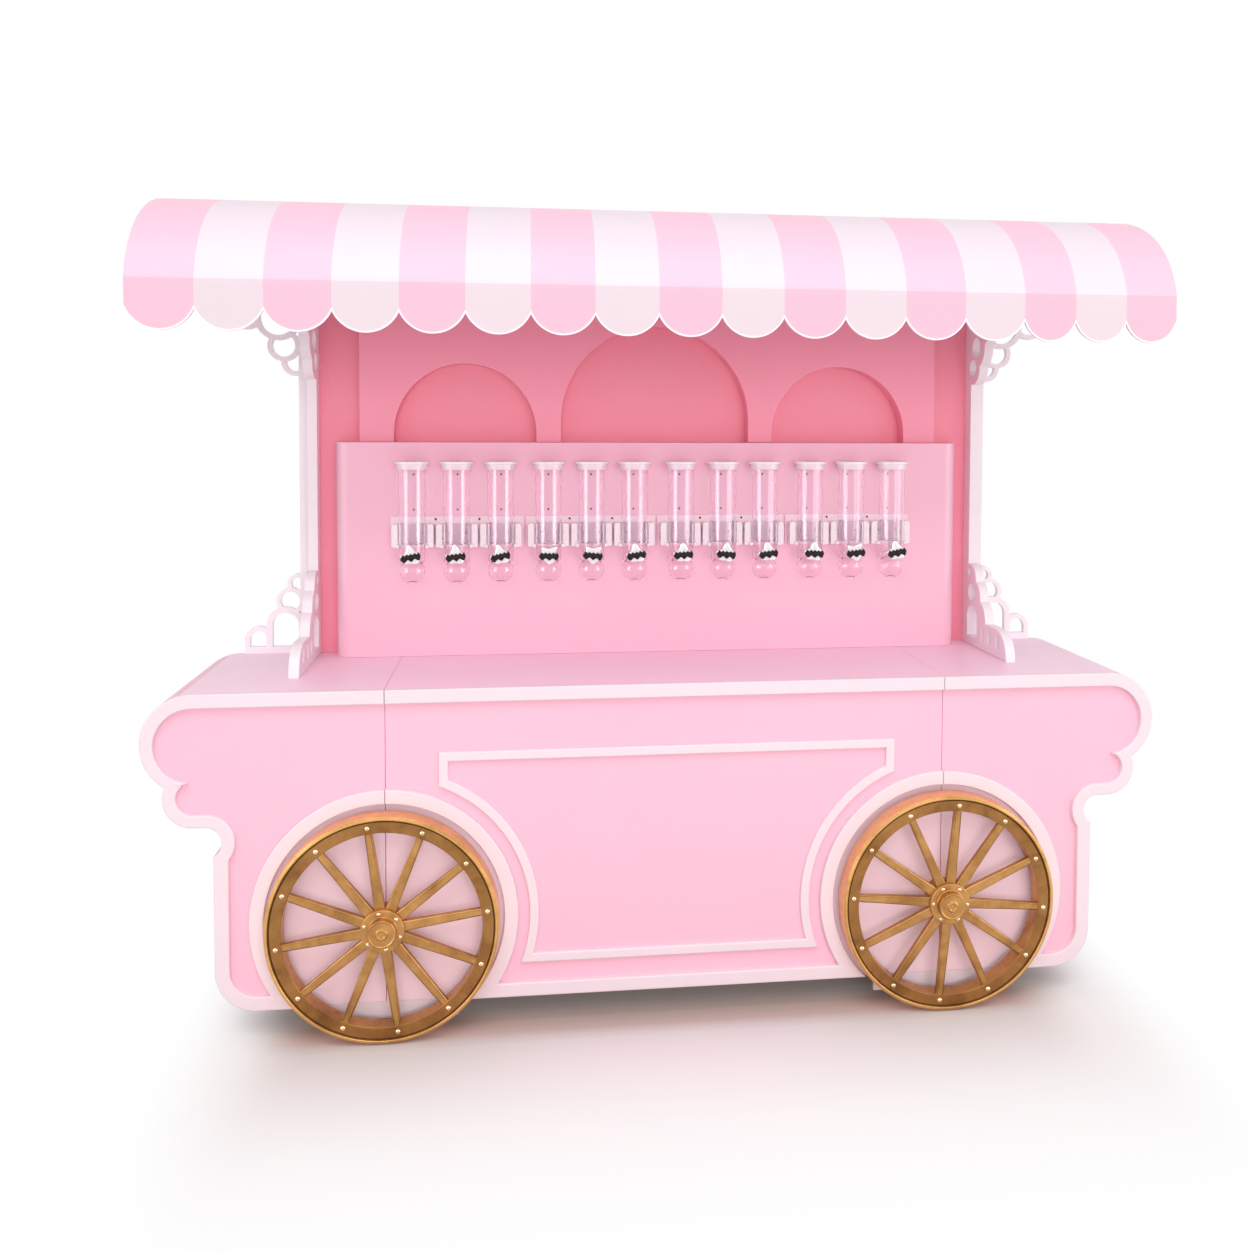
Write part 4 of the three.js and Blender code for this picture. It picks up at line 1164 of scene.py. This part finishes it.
# A painted contact shadow round the cart: its middle, its half size and the shades it multiplies
# the floor by, from its front edge outwards
PAINTED_SHADOW_MIDDLE = (0, 0.14, 0)
PAINTED_SHADOW_HALF = (0.95, 0.28, 0)
PAINTED_CONTACT_SHADOW = [
    (0.0, (255, 251, 249)), (0.11, (215, 191, 184)), (0.22, (215, 193, 187)),
    (0.27, (225, 215, 214)), (0.32, (233, 229, 229)), (0.41, (238, 235, 235)),
    (0.61, (246, 243, 244)), (1.0, (255, 255, 255)),
]


def stage_floor():
    """A pale floor that turns white away from the cart, keeps its cast shadow and has a painted
    shadow near it.
    """
    look = Look("floor", Roughness=0.9, Specular_IOR_Level=0.1)
    pale = look.ramp(look.noise(0.9, 3), [(0.3, (247, 246, 246)), (0.7, (250, 249, 249))])
    look.link(look.bump(look.noise(60, 3), 0.04, 0.001), "Normal")
    tree = look.tree
    seen = seen_ray(tree)

    def vector(operation, *values, output="Vector"):
        inputs = dict(enumerate(values))
        return look.node("VectorMath", inputs, operation=operation).outputs[output]

    def past_box(middle, half):
        return vector("SUBTRACT", vector("ABSOLUTE", vector("SUBTRACT", look.coords, middle)), half)

    def eased(value, start, end):
        return look.node("MapRange", {"Value": value, "From Min": start, "From Max": end},
                         interpolation_type="SMOOTHSTEP").outputs["Result"]

    past = vector("MAXIMUM", past_box(FLOOR_MIDDLE, FLOOR_HALF), (0, 0, 0))
    away = vector("LENGTH", vector("DIVIDE", past, FLOOR_REACH), output="Value")
    split = look.node("SeparateXYZ", {0: past_box(PAINTED_SHADOW_MIDDLE, PAINTED_SHADOW_HALF)}).outputs
    painted_shadow = look.ramp(look.ranged(split["Y"], 0, 1, -0.14, 0.5), PAINTED_CONTACT_SHADOW)
    painted_shadow = look.mixed(eased(split["X"], 0.0, 0.2), painted_shadow, linear(255, 255, 255))
    near = look.mixed(1.0, pale, painted_shadow, "MULTIPLY")
    # Bounced light sees a darker floor near the cart, which dims the light under it
    dimmed_bounce = look.mixed(eased(away, 0.1, 0.9), linear(192, 178, 174), linear(226, 225, 225))
    look.link(look.mixed(seen, dimmed_bounce, near), "Base Color")
    share = look.node("Math", {0: eased(away, 0.0, 1.0), 1: seen}, operation="MULTIPLY").outputs[0]
    white = look.node("Emission").outputs[0]
    mix = look.node("MixShader", {"Fac": share, 1: look.shader.outputs[0], 2: white})
    tree.links.new(mix.outputs[0], tree.nodes["Material Output"].inputs["Surface"])
    mesh = bpy.data.meshes.new("floor")
    rim = arc((0, 0), 30, 0, TURN * 63 / 64, 63)
    mesh.from_pydata([(x, y, 0) for x, y in rim], [], [list(range(64))])
    mesh.materials.append(look.mat)
    in_scene("floor", mesh)


def white_world(level):
    """White where it is seen, and a light of its own level on everything else."""
    world = bpy.data.worlds.new("studio")
    scene.world = world
    world.use_nodes = True
    tree = world.node_tree
    back = tree.nodes["Background"]
    strength = tree.nodes.new("ShaderNodeMapRange")
    strength.inputs["To Min"].default_value = level
    tree.links.new(seen_ray(tree), strength.inputs["Value"])
    tree.links.new(strength.outputs["Result"], back.inputs["Strength"])
    back.inputs["Color"].default_value = (1, 1, 1, 1)


def soft_light(name, place, target, size, power, mirrored_in=True, lights=True):
    data = bpy.data.lights.new(name, "AREA")
    data.shape = "RECTANGLE"
    data.size, data.size_y = size
    data.energy = power
    obj = in_scene(name, data)
    obj.location = place
    obj.rotation_euler = (Vector(target) - Vector(place)).to_track_quat("-Z", "Y").to_euler()
    obj.visible_camera = False
    obj.visible_glossy = obj.visible_transmission = mirrored_in
    obj.visible_diffuse = lights


def photo_camera():
    """The camera fitted to the photograph: its focal length and middle are in pixels."""
    frame_side, focal, middle = 1254, 1200, (682.6448895, 467.6474243)
    yaw, pitch, roll = 0.1276773682, -0.0410708508, 0.0045455036

    def turned(a, b, angle):
        s, c = sin(angle), cos(angle)
        return a * c + b * s, b * c - a * s

    across, ahead = turned(Vector((1, 0, 0)), Vector((0, 1, 0)), -yaw)
    ahead, up = turned(ahead, Vector((0, 0, 1)), pitch)
    across, up = turned(across, up, roll)
    data = bpy.data.cameras.new("camera")
    data.sensor_fit = "HORIZONTAL"
    data.sensor_width = 36
    data.lens = focal / frame_side * 36
    data.shift_x = (frame_side / 2 - middle[0]) / frame_side
    data.shift_y = (middle[1] - frame_side / 2) / frame_side
    data.clip_end = 200
    obj = in_scene("camera", data)
    obj.matrix_world = Matrix((
        (across.x, up.x, -ahead.x, -0.3871233),
        (across.y, up.y, -ahead.y, -3.201578 + DRAWING_Y * MM),
        (across.z, up.z, -ahead.z, 1.6377939),
        (0, 0, 0, 1),
    ))
    scene.camera = obj


stage_floor()
white_world(0.54)
soft_light("key", (-0.6, -8.4, 11.4), (0, 0, 1.0), (9.0, 9.0), 780)
soft_light("fill", (0.6, -8.8, 2.3), (0, 0, 1.0), (6.0, 2.8), 262, mirrored_in=False)
for name, x in (("left_box", -7.3), ("right_box", 7.3)):
    soft_light(name, (x, -4.1, 2.6), (0, 0, 1.2), (4.6, 5.2), 330, lights=False)
photo_camera()

scene.view_settings.view_transform = "Standard"

bpy.context.view_layer.update()
